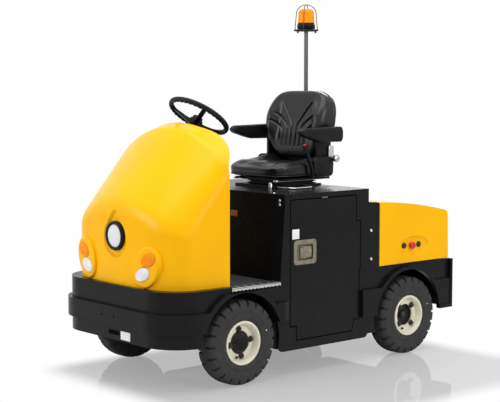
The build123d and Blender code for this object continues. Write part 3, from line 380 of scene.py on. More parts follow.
# the move grows with the height and towards the rim, and is less again at the crown
towardsRim = smooth(points[:, 1], hood["startY"], hood["rimY"])
crown = smooth(points[:, 2], hood["crownFrom"], hood["crownTo"])
points[:, 1] += towardsRim * (hood["drawn"] * smooth(points[:, 2], hood["from"], hood["to"])
                              - hood["crownEase"] * crown)
points[:, 2] -= towardsRim * hood["crownDrop"] * crown
hoodMesh.vertices.foreach_set("co", points.ravel())
if hoodMesh.has_custom_normals:
    hoodMesh.attributes.remove(hoodMesh.attributes["custom_normal"])
hoodMesh.polygons.foreach_set("use_smooth", np.full(len(hoodMesh.polygons), True))
hoodMesh.set_sharp_from_angle(angle=math.radians(40))
hoodMesh.update()
hoodMesh.materials.clear()
hoodMesh.materials.append(yellowGelcoat)
hoodPiece = bpy.data.objects.new("cowlHood", hoodMesh)
bpy.context.collection.objects.link(hoodPiece)
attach(hoodPiece, "tractor")
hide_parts("cowl")
print("tow tractor: cowl done")


# Tyres: the section of a solid tyre with lugs pressed into both shoulders
tyre = {"radius": 0.2305, "half": 0.0635, "bore": 0.1065, "lugs": 22, "stepsPerLug": 16,
        "grooveDepth": 0.015, "grooveShare": 0.14, "grooveReach": 0.042, "treadFrom": 0.196, "treadTo": 0.212,
        "middleDepth": 0.006, "middleWidth": 0.0035, "middleWander": 0.006, "lugTaper": 0.004}


def tyreShell(axleY, side):
    # Radius and width come from a section of straight and round runs. In the tread the radius drops in a
    # groove wherever the angle is near the edge of a lug, and the two shoulders are half a lug apart.
    half, radius = tyre["half"], tyre["radius"]
    section = np.array([(0.052, tyre["bore"]), (0.0525, 0.1195), (0.0565, 0.1225), (0.0595, 0.1285),
                        (0.0600, 0.1335), (0.0622, 0.1350), (0.0630, 0.1420), (0.0635, 0.1560),
                        (0.0622, 0.1580), (0.0630, 0.1600), (0.0630, 0.1800), (0.0615, 0.1990),
                        (0.0600, 0.2020), (0.0590, 0.2090), (0.0560, 0.2170), (0.0500, 0.2240),
                        (0.0440, 0.2275), (0.0380, 0.2290), (0.0330, 0.2298), (0.0270, 0.2303),
                        (0.0220, 0.2305), (0.0150, radius), (0.0080, radius), (0.0, radius)])
    section = np.vstack([section, section[-2::-1] * (-1, 1)])
    steps = tyre["lugs"] * tyre["stepsPerLug"]
    angle = 2 * np.pi * np.arange(steps) / steps
    across = section[:, :1]
    phase = (angle[None, :] * tyre["lugs"] / (2 * np.pi) + 0.5 * (across < 0)) % 1
    nearEdge = np.minimum(phase, 1 - phase)
    inGroove = 1 - smooth(nearEdge, tyre["grooveShare"] * 0.5, tyre["grooveShare"] * 0.9)
    onShoulder = smooth(np.abs(across), half - tyre["grooveReach"] - 0.012, half - tyre["grooveReach"])
    onTread = smooth(section[:, 1:], tyre["treadFrom"], tyre["treadTo"])
    # a shallow wavy groove runs round the middle, with its bends at the lugs
    wander = tyre["middleWander"] * np.sin(angle * tyre["lugs"])[None, :]
    middle = np.exp(-((across - wander) / tyre["middleWidth"]) ** 2) * tyre["middleDepth"]
    drop = tyre["grooveDepth"] * inGroove * onShoulder * onTread + middle * onTread
    reach = section[:, 1:] - drop
    inwards = tyre["lugTaper"] * inGroove * onTread * onShoulder * smooth(np.abs(across), 0.045, 0.058)
    x = side * (wheelX + np.sign(across) * (np.abs(across) - inwards))
    y, z = axleY + reach * np.cos(angle), axleZ + reach * np.sin(angle)
    grid = np.stack([x + 0 * y, y, z], -1)
    return shell(grid, ring=True)


def onWheel(side, x, axleY, circle, turn):
    # the place on a circle round the axle, at an angle from the rear
    return (side * x, axleY + circle * math.cos(turn), axleZ + circle * math.sin(turn))


wheelDetail = {"discX": 0.506, "nuts": 4, "nutCircle": 0.074, "nutTurn": {"front": 7.0, "rear": 44.0},
               "nutHalf": 0.0125, "nutHeight": 0.014, "washer": 0.0175, "stud": 0.0055, "plugCircle": 0.083,
               "plugTurn": -107.0, "markX": 0.5440, "markCircle": 0.166, "markTurn": 0.32,
               "capX": {"front": 0.530, "rear": 0.492}}
capProfile = ((0.044, -0.003), (0.044, 0.001), (0.042, 0.003), (0.030, 0.0045), (0.012, 0.005))
axleNutProfile = ((0.017, 0), (0.017, 0.005), (0.014, 0.008), (0.008, 0.009))
half, height, studHalf = wheelDetail["nutHalf"], wheelDetail["nutHeight"], wheelDetail["stud"]
nutProfile = ((half, 0), (half, height - 0.002), (half * 0.86, height), (half * 0.6, height))
studProfile = ((studHalf, height - 0.001), (studHalf, height + 0.003), (0.004, height + 0.004))
washerProfile = ((wheelDetail["washer"], -0.002), (wheelDetail["washer"], 0.001), (half, 0.0045))
for endName, axleY in endsAndAxles:
    for sideName, side in sides:
        body = endName + "_" + sideName + "_wheel"
        pieceStart = endName + sideName.capitalize()
        newTyre = makePiece(pieceStart + "Tyre", [tyreShell(axleY, side)], tyreRubber, body)
        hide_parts(endName + "_" + sideName + "_tyre")
        outwards = (side, 0, 0)
        fasteners = []
        for i in range(wheelDetail["nuts"]):
            turn = math.radians(wheelDetail["nutTurn"][endName] + 360 / wheelDetail["nuts"] * i)
            centre = onWheel(side, wheelDetail["discX"] + 0.0025, axleY, wheelDetail["nutCircle"], turn)
            for profile, steps in ((nutProfile, 6), (studProfile, 12), (washerProfile, 28)):
                fasteners.append(turned(profile, centre, outwards, steps=steps))
        makePiece(pieceStart + "Nuts", fasteners, darkNut, body, flat=True)
        # a valve-like plug in the disc and a pale mark on the tyre's wall
        plugAt = onWheel(side, wheelDetail["discX"], axleY, wheelDetail["plugCircle"],
                         math.radians(wheelDetail["plugTurn"]))
        plug = turned([(0.006, 0), (0.006, 0.010), (0.004, 0.013)], plugAt, outwards, steps=16)
        makePiece(pieceStart + "Plug", [plug], blackAbs, body)
        markAt = onWheel(side, wheelDetail["markX"], axleY, wheelDetail["markCircle"],
                         wheelDetail["markTurn"])
        mark = turned([(0.0035, 0), (0.0035, 0.0004)], markAt, outwards, steps=16)
        makePiece(pieceStart + "Mark", [mark], blankLabel, body)
        # grease cap in front, small dark nut behind
        capAt = (side * wheelDetail["capX"][endName], axleY, axleZ)
        if endName == "front":
            makePiece(pieceStart + "Cap", [turned(capProfile, capAt, outwards)], blackAbs, body)
        else:
            makePiece(pieceStart + "AxleNut", [turned(axleNutProfile, capAt, outwards, 32)], darkNut, body)
print("tow tractor: wheels done")


# Seat: vinyl over moulded foam. Both pads are closed forms with crowned faces and pressed channels.
cushion = {"halfX": 0.238, "halfY": 0.214, "middleY": 0.1090, "low": 1.0575, "waist": 1.100, "top": 1.148,
           "bolster": 0.048, "noseDrop": 0.020, "channelX": 0.128, "channelDepth": 0.0065, "crossY": 0.035,
           "crossDepth": 0.005, "channelWidth": 0.006, "squareness": 5.4, "columns": 360, "rows": 84}


def roundedReach(angle, halfX, halfY, squareness):
    # distance to the edge of a superellipse at each angle
    return (np.abs(np.cos(angle) / halfX) ** squareness
            + np.abs(np.sin(angle) / halfY) ** squareness) ** (-1 / squareness)


def padRows(count):
    # shares of the reach from the middle to the rim, dense at the rim, and the height that belongs to them
    share = 1 - (1 - np.linspace(0.02, 1, count)) ** 2.6
    height = (1 - np.clip(share, 0, 1) ** 5.0) ** (1 / 5.0)
    return share, height


def cushionTop(x, y):
    # a dished middle between bolsters that rise to the rear, a rounded nose and two pressed channels
    p = cushion
    back = smooth(y, 0.02, 0.30)
    sideRise = smooth(np.abs(x), 0.120, 0.205)
    top = p["top"] + p["bolster"] * sideRise * (0.22 + 0.78 * back) - 0.004 * (1 - sideRise) * back
    top = top - p["noseDrop"] * (1 - smooth(y, -0.086, 0.0))
    beside = (np.abs(x) - p["channelX"] - 0.02 * back) / p["channelWidth"]
    channel = p["channelDepth"] * np.exp(-beside ** 2) * smooth(y, -0.05, -0.01)
    cross = np.exp(-((y - p["crossY"]) / p["channelWidth"]) ** 2) * (1 - smooth(np.abs(x), 0.10, 0.13))
    return top - channel - p["crossDepth"] * cross


def cushionShell():
    # rings that grow from the middle to a superellipse: up to the top face above the waist, and flat below
    p = cushion
    angle = 2 * np.pi * np.arange(p["columns"]) / p["columns"]
    reach = roundedReach(angle, p["halfX"], p["halfY"], p["squareness"])
    share, height = padRows(p["rows"])
    x = share[:, None] * reach * np.cos(angle)
    y = p["middleY"] + share[:, None] * reach * np.sin(angle)
    upper = p["waist"] + height[:, None] * (cushionTop(x, y) - p["waist"])
    lower = p["waist"] - height[:, None] * (p["waist"] - p["low"]) + 0 * x
    # the wall pulls in between the corners and swells a little above the piping
    pull = 1 - 0.018 * np.abs(np.cos(2 * angle)) * (1 - height[:, None])
    above = np.stack([x * pull, p["middleY"] + (y - p["middleY"]) * pull, upper], -1)
    below = np.stack([x * 0.985, y, lower], -1)
    return shell(np.concatenate([below[:-1], above[::-1]]))


def cushionPiping():
    # a welt round the cushion, level, just above its base
    p = cushion
    angle = 2 * np.pi * np.arange(240) / 240
    reach = roundedReach(angle, p["halfX"], p["halfY"], p["squareness"]) * 0.988
    ring = np.stack([reach * np.cos(angle), p["middleY"] + reach * np.sin(angle),
                     np.full(240, p["low"] + 0.017)], -1)
    return tube(ring, 0.0042, 10, ring=True)


backrest = {"halfX": 0.248, "halfH": 0.199, "middleZ": 1.3590, "middleY": 0.3005, "lean": 8.4,
            "columns": 420, "rows": 110, "thickLow": 0.058, "thickTop": 0.052, "behind": 0.062,
            "squareness": 4.2, "channelWidth": 0.0055, "channelDepth": 0.0115,
            "wings": 0.052, "wingFrom": 0.128, "wingTo": 0.212, "lumbar": 0.008}
# each pressed leaf: where it starts beside the middle, where it leaves the upright, and how it ends
leaves = ({"start": 0.020, "bend": -0.015, "outwards": 0.110, "upwards": 0.150, "power": 1.15},
          {"start": 0.058, "bend": -0.040, "outwards": 0.112, "upwards": 0.100, "power": 1.7},
          {"start": 0.096, "bend": -0.065, "outwards": 0.096, "upwards": 0.080, "power": 1.9})


def backFront(x, h):
    # The front face: wings that come forward at the sides, a lumbar swell, and channels that stand
    # upright at the bottom and bend outwards like palm leaves, as a power of the height above the bend.
    p = backrest
    thick = p["thickLow"] + (p["thickTop"] - p["thickLow"]) * smooth(h, -0.16, 0.19)
    wings = p["wings"] * smooth(np.abs(x), p["wingFrom"], p["wingTo"])
    wings = wings * (0.35 + 0.65 * smooth(h, -0.16, -0.02)) * (1 - 0.85 * smooth(h, 0.02, 0.19))
    lumbar = p["lumbar"] * np.exp(-((h + 0.06) / 0.07) ** 2) * (1 - smooth(np.abs(x), 0.09, 0.16))
    front = thick + wings + lumbar
    for leaf in leaves:
        climb, power = np.clip(h - leaf["bend"], 0, None) / leaf["upwards"], leaf["power"]
        path = leaf["start"] + leaf["outwards"] * climb ** power
        slope = leaf["outwards"] / leaf["upwards"] * power * climb ** (power - 1) * (climb > 0)
        gap = (np.abs(x) - path) / (p["channelWidth"] * np.sqrt(1 + slope ** 2))
        length = smooth(h, -0.150, -0.130) * (1 - smooth(climb, 0.85, 1.05))
        front = front - p["channelDepth"] * np.exp(-gap ** 2) * length
    return front


def narrowed(x, h):
    # the backrest is a fifth narrower at its foot and a little narrower at its head
    return x * (1 - 0.20 * (1 - smooth(h, -0.20, 0.02)) - 0.04 * smooth(h, 0.06, 0.19))


def backrestShell():
    # rings that grow to a superellipse, raised to both sides of a plane that leans back
    p = backrest
    angle = 2 * np.pi * np.arange(p["columns"]) / p["columns"]
    reach = roundedReach(angle, p["halfX"], p["halfH"], p["squareness"])
    share, height = padRows(p["rows"])
    x = share[:, None] * reach * np.cos(angle)
    h = share[:, None] * reach * np.sin(angle)
    x = narrowed(x, h)
    lean = math.radians(p["lean"])
    grids = []
    for depth in (-height[:, None] * p["behind"], height[:, None] * backFront(x, h)):
        y = p["middleY"] + h * math.sin(lean) - depth * math.cos(lean)
        z = p["middleZ"] + h * math.cos(lean) + depth * math.sin(lean)
        grids.append(np.stack([x + 0 * depth, y, z], -1))
    return shell(np.concatenate([grids[0][:-1], grids[1][::-1]]))


def backPiping():
    # a welt round the rim of the backrest
    p = backrest
    angle = 2 * np.pi * np.arange(300) / 300
    reach = roundedReach(angle, p["halfX"], p["halfH"], p["squareness"]) * 0.992
    x, h = narrowed(reach * np.cos(angle), reach * np.sin(angle)), reach * np.sin(angle)
    lean = math.radians(p["lean"])
    ring = np.stack([x, p["middleY"] + 0.012 + h * math.sin(lean), p["middleZ"] + h * math.cos(lean)], -1)
    return tube(ring, 0.0040, 10, ring=True, helper=(0, 1, 0))


# the arm's top and lower edge are lines through (y, z)
armrest = {"pivotX": 0.236, "pivotY": 0.295, "pivotZ": 1.305, "x": (0.273, 0.327), "noseY": 0.002,
           "backY": 0.334, "topLine": ((0.0, 1.341), (0.03, 1.350), (0.32, 1.356)),
           "lowLine": ((0.0, 1.314), (0.02, 1.305), (0.10, 1.281), (0.15, 1.268), (0.32, 1.265)),
           "squareness": 0.45}


def armrestShell(side):
    # sections across the arm from a round nose to a deep rear end; each is a superellipse
    p = armrest
    along = 1 - (1 - np.linspace(0.0, 1, 60)) ** 1.6
    y = p["noseY"] + along * (p["backY"] - p["noseY"])
    top = np.interp(y, *np.transpose(p["topLine"]))
    low = np.interp(y, *np.transpose(p["lowLine"]))
    noseEnd = smooth(y, p["noseY"] - 0.004, 0.028) ** 0.5
    backEnd = (1 - smooth(y, p["backY"] - 0.02, p["backY"] + 0.004)) ** 0.5
    ends = noseEnd * backEnd
    angle = 2 * np.pi * np.arange(48) / 48
    wide = (p["x"][1] - p["x"][0]) / 2 * (0.55 + 0.45 * ends)
    tall = (top - low) / 2 * (0.45 + 0.55 * ends)
    reachX = np.sign(np.cos(angle)) * np.abs(np.cos(angle)) ** p["squareness"]
    reachZ = np.sign(np.sin(angle)) * np.abs(np.sin(angle)) ** p["squareness"]
    x = side * (sum(p["x"]) / 2 + wide[:, None] * reachX)
    z = ((top + low) / 2)[:, None] + tall[:, None] * reachZ
    return shell(np.stack([x, y[:, None] + 0 * x, z], -1))


newCushion = makePiece("seatCushionPad", [cushionShell(), cushionPiping()], seatVinyl, "tractor")
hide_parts("seat_cushion")
newBack = makePiece("seatBackPad", [backrestShell(), backPiping()], seatVinyl, "tractor")
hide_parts("seat_back")
for sideName, side in sides:
    armPivot = (side * armrest["pivotX"], armrest["pivotY"], armrest["pivotZ"])
    pin = turned([(0.012, 0), (0.012, 0.042), (0.020, 0.042), (0.020, 0.050)], armPivot, (side, 0, 0), 24)
    newArm = makePiece(sideName + "ArmrestPad", [armrestShell(side), pin], blackAbs, sideName + "_armrest")
    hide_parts(sideName + "_armrest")
print("tow tractor: seat pads done")


# Seat hardware: plates at both sides of the pads, buckle on a stalk, slide rails and a bright pin in front
# each side plate: place, half sizes, height, corner radius and edge radius
sidePlates = {"recliner": ((0.228, 0.318, 1.176), (0.020, 0.066), 0.008, 0.012, 0.0008),
              "bracket": ((0.206, 0.272, 1.220), (0.056, 0.090), 0.018, 0.030, 0.005),
              "shroud": ((0.238, 0.244, 1.120), (0.078, 0.058), 0.014, 0.030, 0.005)}
seatFit = {"knobAt": (0.236, 0.330, 1.166), "linkAt": (0, 0.320, 1.156), "linkHalf": (0.212, 0.085),
           "stalk": ((0.256, 0.150, 1.062), (0.258, 0.135, 1.120), (0.256, 0.098, 1.215)),
           "buckleAt": (0.2565, 0.097, 1.222), "buttonAt": (0.2565, 0.088, 1.250),
           "buckleUp": (0, -0.3, 0.95), "railX": 0.180, "railY": 0.135, "railZ": 1.0425,
           "pinAt": (0.150, -0.083, 1.004)}


def sidePlate(name, side):
    # a plate beside the seat that faces outwards, from its row in the table
    (x, y, z), *sizes = sidePlates[name]
    return plate((side * x, y, z), (side, 0, 0), *sizes)


# the black parts: brackets and shrouds, the plate that joins the pads behind, the stalk and the buckle
blackParts = [sidePlate(name, side) for _, side in sides for name in ("bracket", "shroud")]
blackParts.append(plate(seatFit["linkAt"], (0, 1, 0), seatFit["linkHalf"], 0.012, 0.03, 0.003))
blackParts.append(tube(softPath(seatFit["stalk"], 30, 5), np.linspace(0.009, 0.013, 30), 10))
blackParts.append(plate(seatFit["buckleAt"], seatFit["buckleUp"], (0.010, 0.016), 0.030, 0.004))
# the bright parts: a fluted knob, two rails under the cushion and the pin that locks the deck
brightParts = [turned([(0.014, 0), (0.014, 0.020), (0.021, 0.022), (0.021, 0.038), (0.016, 0.042)],
                      seatFit["knobAt"], (1, 0, 0), 28, flutes=8, fluteDepth=0.05)]
for side in (-1, 1):
    railAt = (side * seatFit["railX"], seatFit["railY"], seatFit["railZ"])
    brightParts.append(plate(railAt, (0, 0, 1), (0.011, 0.215), 0.009, 0.002))
brightParts.append(turned([(0.011, 0), (0.011, 0.030), (0.008, 0.034)], seatFit["pinAt"], (0, 0, 1), 20))
button = plate(seatFit["buttonAt"], seatFit["buckleUp"], (0.007, 0.012), 0.006, 0.003)
makePiece("reclinerPlates", [sidePlate("recliner", side) for _, side in sides], brightZinc, "tractor")
makePiece("seatBrightParts", brightParts, brightZinc, "tractor")
makePiece("seatBlackParts", blackParts, blackAbs, "tractor")
makePiece("buckleButton", [button], redAbs, "tractor")


# Lamps: a bezel, a bright bowl and a fluted lens for the head lamp; ribbed domes on the pods
headLamp = {"y": -1.058, "z": 0.794, "lensRadius": 0.0605, "lensLow": 0.0150, "lensHigh": 0.0215,
            "ribPitch": 0.0085, "ribHeight": 0.0007}
forward = (0, -1, 0)
lampCentre = (0, headLamp["y"], headLamp["z"])
bezel = [(0.060, 0.0), (0.080, 0.0), (0.080, 0.014), (0.0775, 0.019), (0.073, 0.0225), (0.067, 0.023),
         (0.0615, 0.0175), (0.060, 0.012)]
makePiece("headLampBezel", [turned(bezel, lampCentre, forward, 72, ring=True)], blackAbs, "tractor")
bowl = [(0.010, 0.0015), (0.020, 0.0015), (0.036, 0.003), (0.050, 0.007), (0.0605, 0.012), (0.0605, 0.0005)]
makePiece("headLampBowl", [turned(bowl, lampCentre, forward, 60)], chromeBowl, "tractor")


def flutedLens():
    # a dome whose height falls with the square of the radius, with upright ribs of a cosine in x
    angle = 2 * np.pi * np.arange(120) / 120
    share = np.linspace(0.02, 1, 40)[:, None]
    reach, low = headLamp["lensRadius"] * share, headLamp["lensLow"]
    x, z = reach * np.cos(angle), reach * np.sin(angle)
    ribs = headLamp["ribHeight"] * np.cos(2 * np.pi * x / headLamp["ribPitch"])
    front = low + (headLamp["lensHigh"] - low) * (1 - share ** 2) + ribs * (1 - smooth(share, 0.9, 1.0))
    behind = low - 0.003 + 0 * x
    rows = np.concatenate([np.stack([x, -behind, z], -1)[:-1], np.stack([x, -front, z], -1)[::-1]])
    return shell(rows + np.array(lampCentre))


lensPiece = makePiece("headLampLens", [flutedLens()], clearLens, "tractor")
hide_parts("headlamp")

pod = {"x": 0.274, "z": 0.651, "y": -1.0555, "out": 0.1197, "lean": 28.0, "proud": 0.016, "step": 0.046,
       "half": (0.0565, 0.0350), "ovalTurn": 50.0, "dome": 0.0055, "ribHeight": 0.0006, "ribs": 7}


def podLamp(place, side):
    # An oval dome on the pod's leaning plane: bowl behind, and a lens whose ribs follow ovals like its rim
    level = math.sqrt(1 - pod["out"] ** 2)
    lean = math.radians(pod["lean"])
    acrossPod = np.array((level * math.cos(lean), pod["out"] * math.cos(lean), -math.sin(lean)))
    normal = np.array((pod["out"], -level, 0.0))
    upPod = np.cross(normal, acrossPod)
    centre = np.array((pod["x"], pod["y"], pod["z"])) + upPod * pod["step"] * place + normal * pod["proud"]
    angle = 2 * np.pi * np.arange(96) / 96
    share = np.linspace(0.03, 1, 44)[:, None]
    longWay, shortWay = share * pod["half"][0] * np.cos(angle), share * pod["half"][1] * np.sin(angle)
    turn = math.radians(pod["ovalTurn"])
    flatX = (longWay * math.cos(turn) - shortWay * math.sin(turn))[..., None] * acrossPod
    flatY = (longWay * math.sin(turn) + shortWay * math.cos(turn))[..., None] * upPod
    rim = smooth(share, 0.90, 0.97)
    domed = 0.0035 + pod["dome"] * np.sqrt(np.clip(1 - share ** 2.4, 0, 1)) - 0.002 * rim
    ribs = pod["ribHeight"] * np.cos(2 * np.pi * share * pod["ribs"]) * (1 - rim)

    def layer(size, height):
        # the oval at a share of its size, raised along the normal
        return centre + size * (flatX + flatY) + (height + 0 * longWay)[..., None] * normal

    lens = shell(np.concatenate([layer(1.0, -0.0010)[:-1], layer(1.0, domed + ribs)[::-1]]))
    bowl = shell(np.concatenate([layer(0.98, -0.0070), layer(0.98, -0.0012)[::-1]]))
    return (lens, bowl) if side > 0 else (mirrored(lens), mirrored(bowl))


for place, pieceName, nodeName, lensMaterial, slotName in (
        (1, "indicatorLenses", "indicators", amberLens, "amber_lens"),
        (-1, "markerLenses", "marker_lamps", clearLens, "clear_lens")):
    lamps = [podLamp(place, side) for _, side in sides]
    lenses = makePiece(pieceName, [lamp[0] for lamp in lamps], lensMaterial, "tractor")
    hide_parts(nodeName)
    makePiece(pieceName + "Bowls", [lamp[1] for lamp in lamps], whiteReflector, "tractor")

# Beacon: black base, fluted amber lens and a lit-looking core
beacon = {"x": -0.075, "y": 0.403, "low": 1.929, "seam": 1.966, "lensRadius": 0.0485, "lensHigh": 0.081,
          "flutes": 30}
beaconAt = (beacon["x"], beacon["y"], 0)
baseProfile = [(0.052, beacon["low"]), (0.054, beacon["low"] + 0.003), (0.054, beacon["seam"] - 0.010),
               (0.050, beacon["seam"] - 0.006), (0.050, beacon["seam"])]
makePiece("beaconBase", [turned(baseProfile, beaconAt, (0, 0, 1), 64)], blackAbs, "tractor")
rise = np.linspace(0, 1, 24)
lensReach = beacon["lensRadius"] - 0.004 * rise - 0.012 * np.clip(rise - 0.85, 0, None) / 0.15
lensProfile = np.vstack([(beacon["lensRadius"], beacon["seam"]),
                         np.stack([lensReach, beacon["seam"] + 0.001 + rise * beacon["lensHigh"]], -1)])
lensShell = turned(lensProfile, beaconAt, (0, 0, 1), 180, flutes=beacon["flutes"], fluteDepth=0.018)
beaconLens = makePiece("beaconLens", [lensShell], amberLens, "tractor")
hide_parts("beacon_lens")
core = [(0.018, beacon["seam"] + 0.002), (0.020, beacon["seam"] + 0.010), (0.020, beacon["seam"] + 0.058),
        (0.012, beacon["seam"] + 0.064)]
makePiece("beaconCore", [turned(core, beaconAt, (0, 0, 1), 32)], whiteReflector, "tractor")
# guard: two crossed wire hoops with round shoulders over a dark dish
guard = {"low": 1.919, "shoulder": 2.020, "top": 2.0735, "footHalf": 0.0700, "shoulderHalf": 0.0610,
         "wire": 0.0024, "turns": (34.2, 124.2), "clampTurns": (0.4, 2.5, 4.6), "clampReach": 0.062,
         "clampZ": 1.9175}
hoops = []
for turn in guard["turns"]:
    arc = np.linspace(0, np.pi, 41)
    legHigh = np.linspace(guard["low"], guard["shoulder"], 14)
    legHalf = np.linspace(guard["footHalf"], guard["shoulderHalf"], 14)
    reach = np.concatenate([legHalf[:-1], guard["shoulderHalf"] * np.cos(arc), -legHalf[-2::-1]])
    domeHigh = guard["shoulder"] + (guard["top"] - guard["shoulder"]) * np.sin(arc)
    level = np.concatenate([legHigh[:-1], domeHigh, legHigh[-2::-1]])
    cosTurn, sinTurn = math.cos(math.radians(turn)), math.sin(math.radians(turn))
    path = np.stack([beacon["x"] + reach * cosTurn, beacon["y"] + reach * sinTurn, level], -1)
    hoops.append(tube(path, guard["wire"], 10, helper=(-sinTurn, cosTurn, 0)))
guardPiece = makePiece("beaconGuardHoops", hoops, darkNut, "tractor")
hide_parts("beacon_guard")
dish = [(0.012, 1.915), (0.066, 1.915), (0.074, 1.919), (0.075, 1.925), (0.071, 1.926), (0.064, 1.922),
        (0.020, 1.922), (0.016, 1.929), (0.010, 1.929)]
makePiece("beaconDish", [turned(dish, beaconAt, (0, 0, 1), 64)], blackCastPaint, "tractor")
# clamps and bolts that hold the guard to its dish
clamps = []
clampProfile = [(0.006, -0.014), (0.006, -0.002), (0.010, -0.002), (0.010, 0.004)]
for turn in guard["clampTurns"]:
    clampX = beacon["x"] + guard["clampReach"] * math.cos(turn)
    clampY = beacon["y"] + guard["clampReach"] * math.sin(turn)
    clamps.append(turned(clampProfile, (clampX, clampY, guard["clampZ"]), (0, 0, 1), 12))
makePiece("beaconClamps", clamps, darkNut, "tractor", flat=True)
print("tow tractor: lamps and beacon done")


def buttonHead(centre, normal, radius):
    # a bolt's head: a short dome on a low rim, with a small hollow in the middle
    return turned([(radius, 0), (radius, radius * 0.25), (radius * 0.86, radius * 0.52),
                   (radius * 0.55, radius * 0.68), (radius * 0.3, radius * 0.55)], centre, normal, 20)


# Bolts on both sides as (x, y, z), the way they face and their radius, then the four of the coupling
bolts = []
for _, side in sides:
    outwards = (side, 0, 0)
    for place, facing, radius in (
            ((faceX, 0.362, 0.760), outwards, 0.0095), ((faceX, 0.364, 0.594), outwards, 0.0095),
            ((0.479, -0.307, 0.970), forward, 0.0085), ((0.479, -0.307, 0.947), forward, 0.0085),
            ((0.400, -0.2795, 1.004), (0, 0, 1), 0.007), ((0.400, 0.310, 1.004), (0, 0, 1), 0.007),
            ((0.320, 1.055, 0.300), (0, 1, 0), 0.010), ((0.320, 1.055, 0.520), (0, 1, 0), 0.010)):
        bolts.append(buttonHead((side * place[0], *place[1:]), facing, radius))
for x in (-0.06, 0.06):
    for z in (0.285, 0.385):
        bolts.append(buttonHead((x, 1.067, z), (0, 1, 0), 0.007))
makePiece("panelBolts", bolts, brightZinc, "tractor")

# Latches: four screws, a raised frame round the well, a finger pull with its paddle, and a keyway
latch = {"x": 0.5268, "y": -0.158, "z": 0.6805, "pullX": 0.5275, "pullY": -0.176, "keyY": -0.127,
         "screwX": 0.527, "screwY": (-0.234, -0.088), "screwZ": (0.624, 0.737),
         "labelY": -0.228, "labelZ": 0.783}
for sideName, side in sides:
    out = (side, 0, 0)
    screws = [buttonHead((side * latch["screwX"], y, z), out, 0.0055)
              for y in latch["screwY"] for z in latch["screwZ"]]
    wellAt = (side * latch["x"], latch["y"], latch["z"])
    pullAt = (side * latch["pullX"], latch["pullY"], latch["z"])
    surround = frameRing(wellAt, out, (0.058, 0.048), 0.004, 0.0038, 0.014)
    # the well is a thin dark plate: painted shade in the latch's recess
    well = plate(wellAt, out, (0.053, 0.043), 0.0008, 0.010, 0.0002)
    pull = frameRing(pullAt, out, (0.026, 0.034), 0.004, 0.0036, 0.007)
    paddle = plate(pullAt, out, (0.019, 0.027), 0.0022, 0.004, 0.0006)
    keyway = turned([(0.0105, 0), (0.0105, 0.0045), (0.0080, 0.006)],
                    (side * latch["pullX"], latch["keyY"], latch["z"]), out, 24)
    makePiece(sideName + "LatchWellShade", [well], darkNut, sideName + "_door")
    makePiece(sideName + "LatchScrews", screws + [surround, pull, paddle, keyway], passivatedZinc,
              sideName + "_door")
    labelAt = (side * faceX, latch["labelY"], latch["labelZ"])
    label = plate(labelAt, out, (0.026, 0.027), 0.0007, 0.002, 0.0002)
    makePiece(sideName + "DoorLabel", [label], blankLabel, sideName + "_door")

# Front: blank plate, a near-black sheet of painted shade in the slot with its lip low on the skirt, and a
# faded label on the bulkhead
skirt = {"y": -1.097, "plateX": 0.129, "plateZ": 0.268, "slotX": 0.024, "slotZ": 0.276}
plateAt = (skirt["plateX"], skirt["y"], skirt["plateZ"])
slotAt = (skirt["slotX"], skirt["y"], skirt["slotZ"])
plateShell = plate(plateAt, forward, (0.043, 0.023), 0.001, 0.002, 0.0003)
makePiece("blankFrontPlate", [plateShell], blankLabel, "tractor")
# the slot's opening is a thin near-black sheet of painted shade
slotShadeSheet = plate(slotAt, forward, (0.050, 0.0125), 0.0008, 0.0124, 0.0003)
slotLip = frameRing(slotAt, forward, (0.054, 0.0165), 0.004, 0.0018, 0.0160)
makePiece("skirtSlot", [slotShadeSheet], deepShade, "tractor")
makePiece("skirtSlotLip", [slotLip], blackPowderCoat, "tractor")
bulkheadLabel = {"at": (0.100, -0.3156, 0.874), "facing": (0, -0.9969, 0.0790), "half": (0.030, 0.017)}
labelShell = plate(bulkheadLabel["at"], bulkheadLabel["facing"], bulkheadLabel["half"], 0.0007, 0.002, 0.0002)
makePiece("bulkheadLabel", [labelShell], brownLabel, "tractor")


# Step treads
tread = {"x": 0.497, "y": -0.515, "half": (0.031, 0.172), "low": 0.5255, "lip": (0.522, 0.528),
         "lipLow": 0.514, "lipWave": 0.0025, "pitch": 0.0265, "ovals": 6, "ovalRadius": 0.0185,
         "ovalStart": -0.652, "spacing": 0.055, "ovalZ": 0.5308, "lipTop": 0.5285}


def treadPlate(side):
    # the plate, and a lip along its outer edge whose lower border swings as a cosine of the length
    (halfX, halfY), (inner, outer) = tread["half"], tread["lip"]
    top = plate((side * tread["x"], tread["y"], tread["low"]), (0, 0, 1), (halfX, halfY), 0.0055, 0.002)
    along = np.linspace(tread["y"] - halfY, tread["y"] + halfY, 240)
    low = tread["lipLow"] - tread["lipWave"] * np.cos(2 * np.pi * (along - along[0]) / tread["pitch"])
    rings = [np.stack([np.full(240, side * x), along, low + share * (tread["lipTop"] - low)], -1)
             for x, share in ((inner, 0.0), (outer, 0.0), (outer, 1.0), (inner, 1.0))]
    return top, shell(np.stack(rings, 1))


def treadHoleShade(side):
    # painted shade in the punched openings of the plate: thin raised near-black discs at even steps
    p = tread
    disc = [(p["ovalRadius"], 0), (p["ovalRadius"], 0.0006)]
    return [turned(disc, (side * p["x"], p["ovalStart"] + p["spacing"] * i, p["ovalZ"]), (0, 0, 1), 28)
            for i in range(p["ovals"])]


# near-black discs of painted shade stand for the openings in the treads
makePiece("treadHoleShade", [oval for _, side in sides for oval in treadHoleShade(side)], deepShade, "tractor")
plates = makePiece("treadPlates", [part for _, side in sides for part in treadPlate(side)], millAluminium,
                   "tractor")
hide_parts("step_treads")

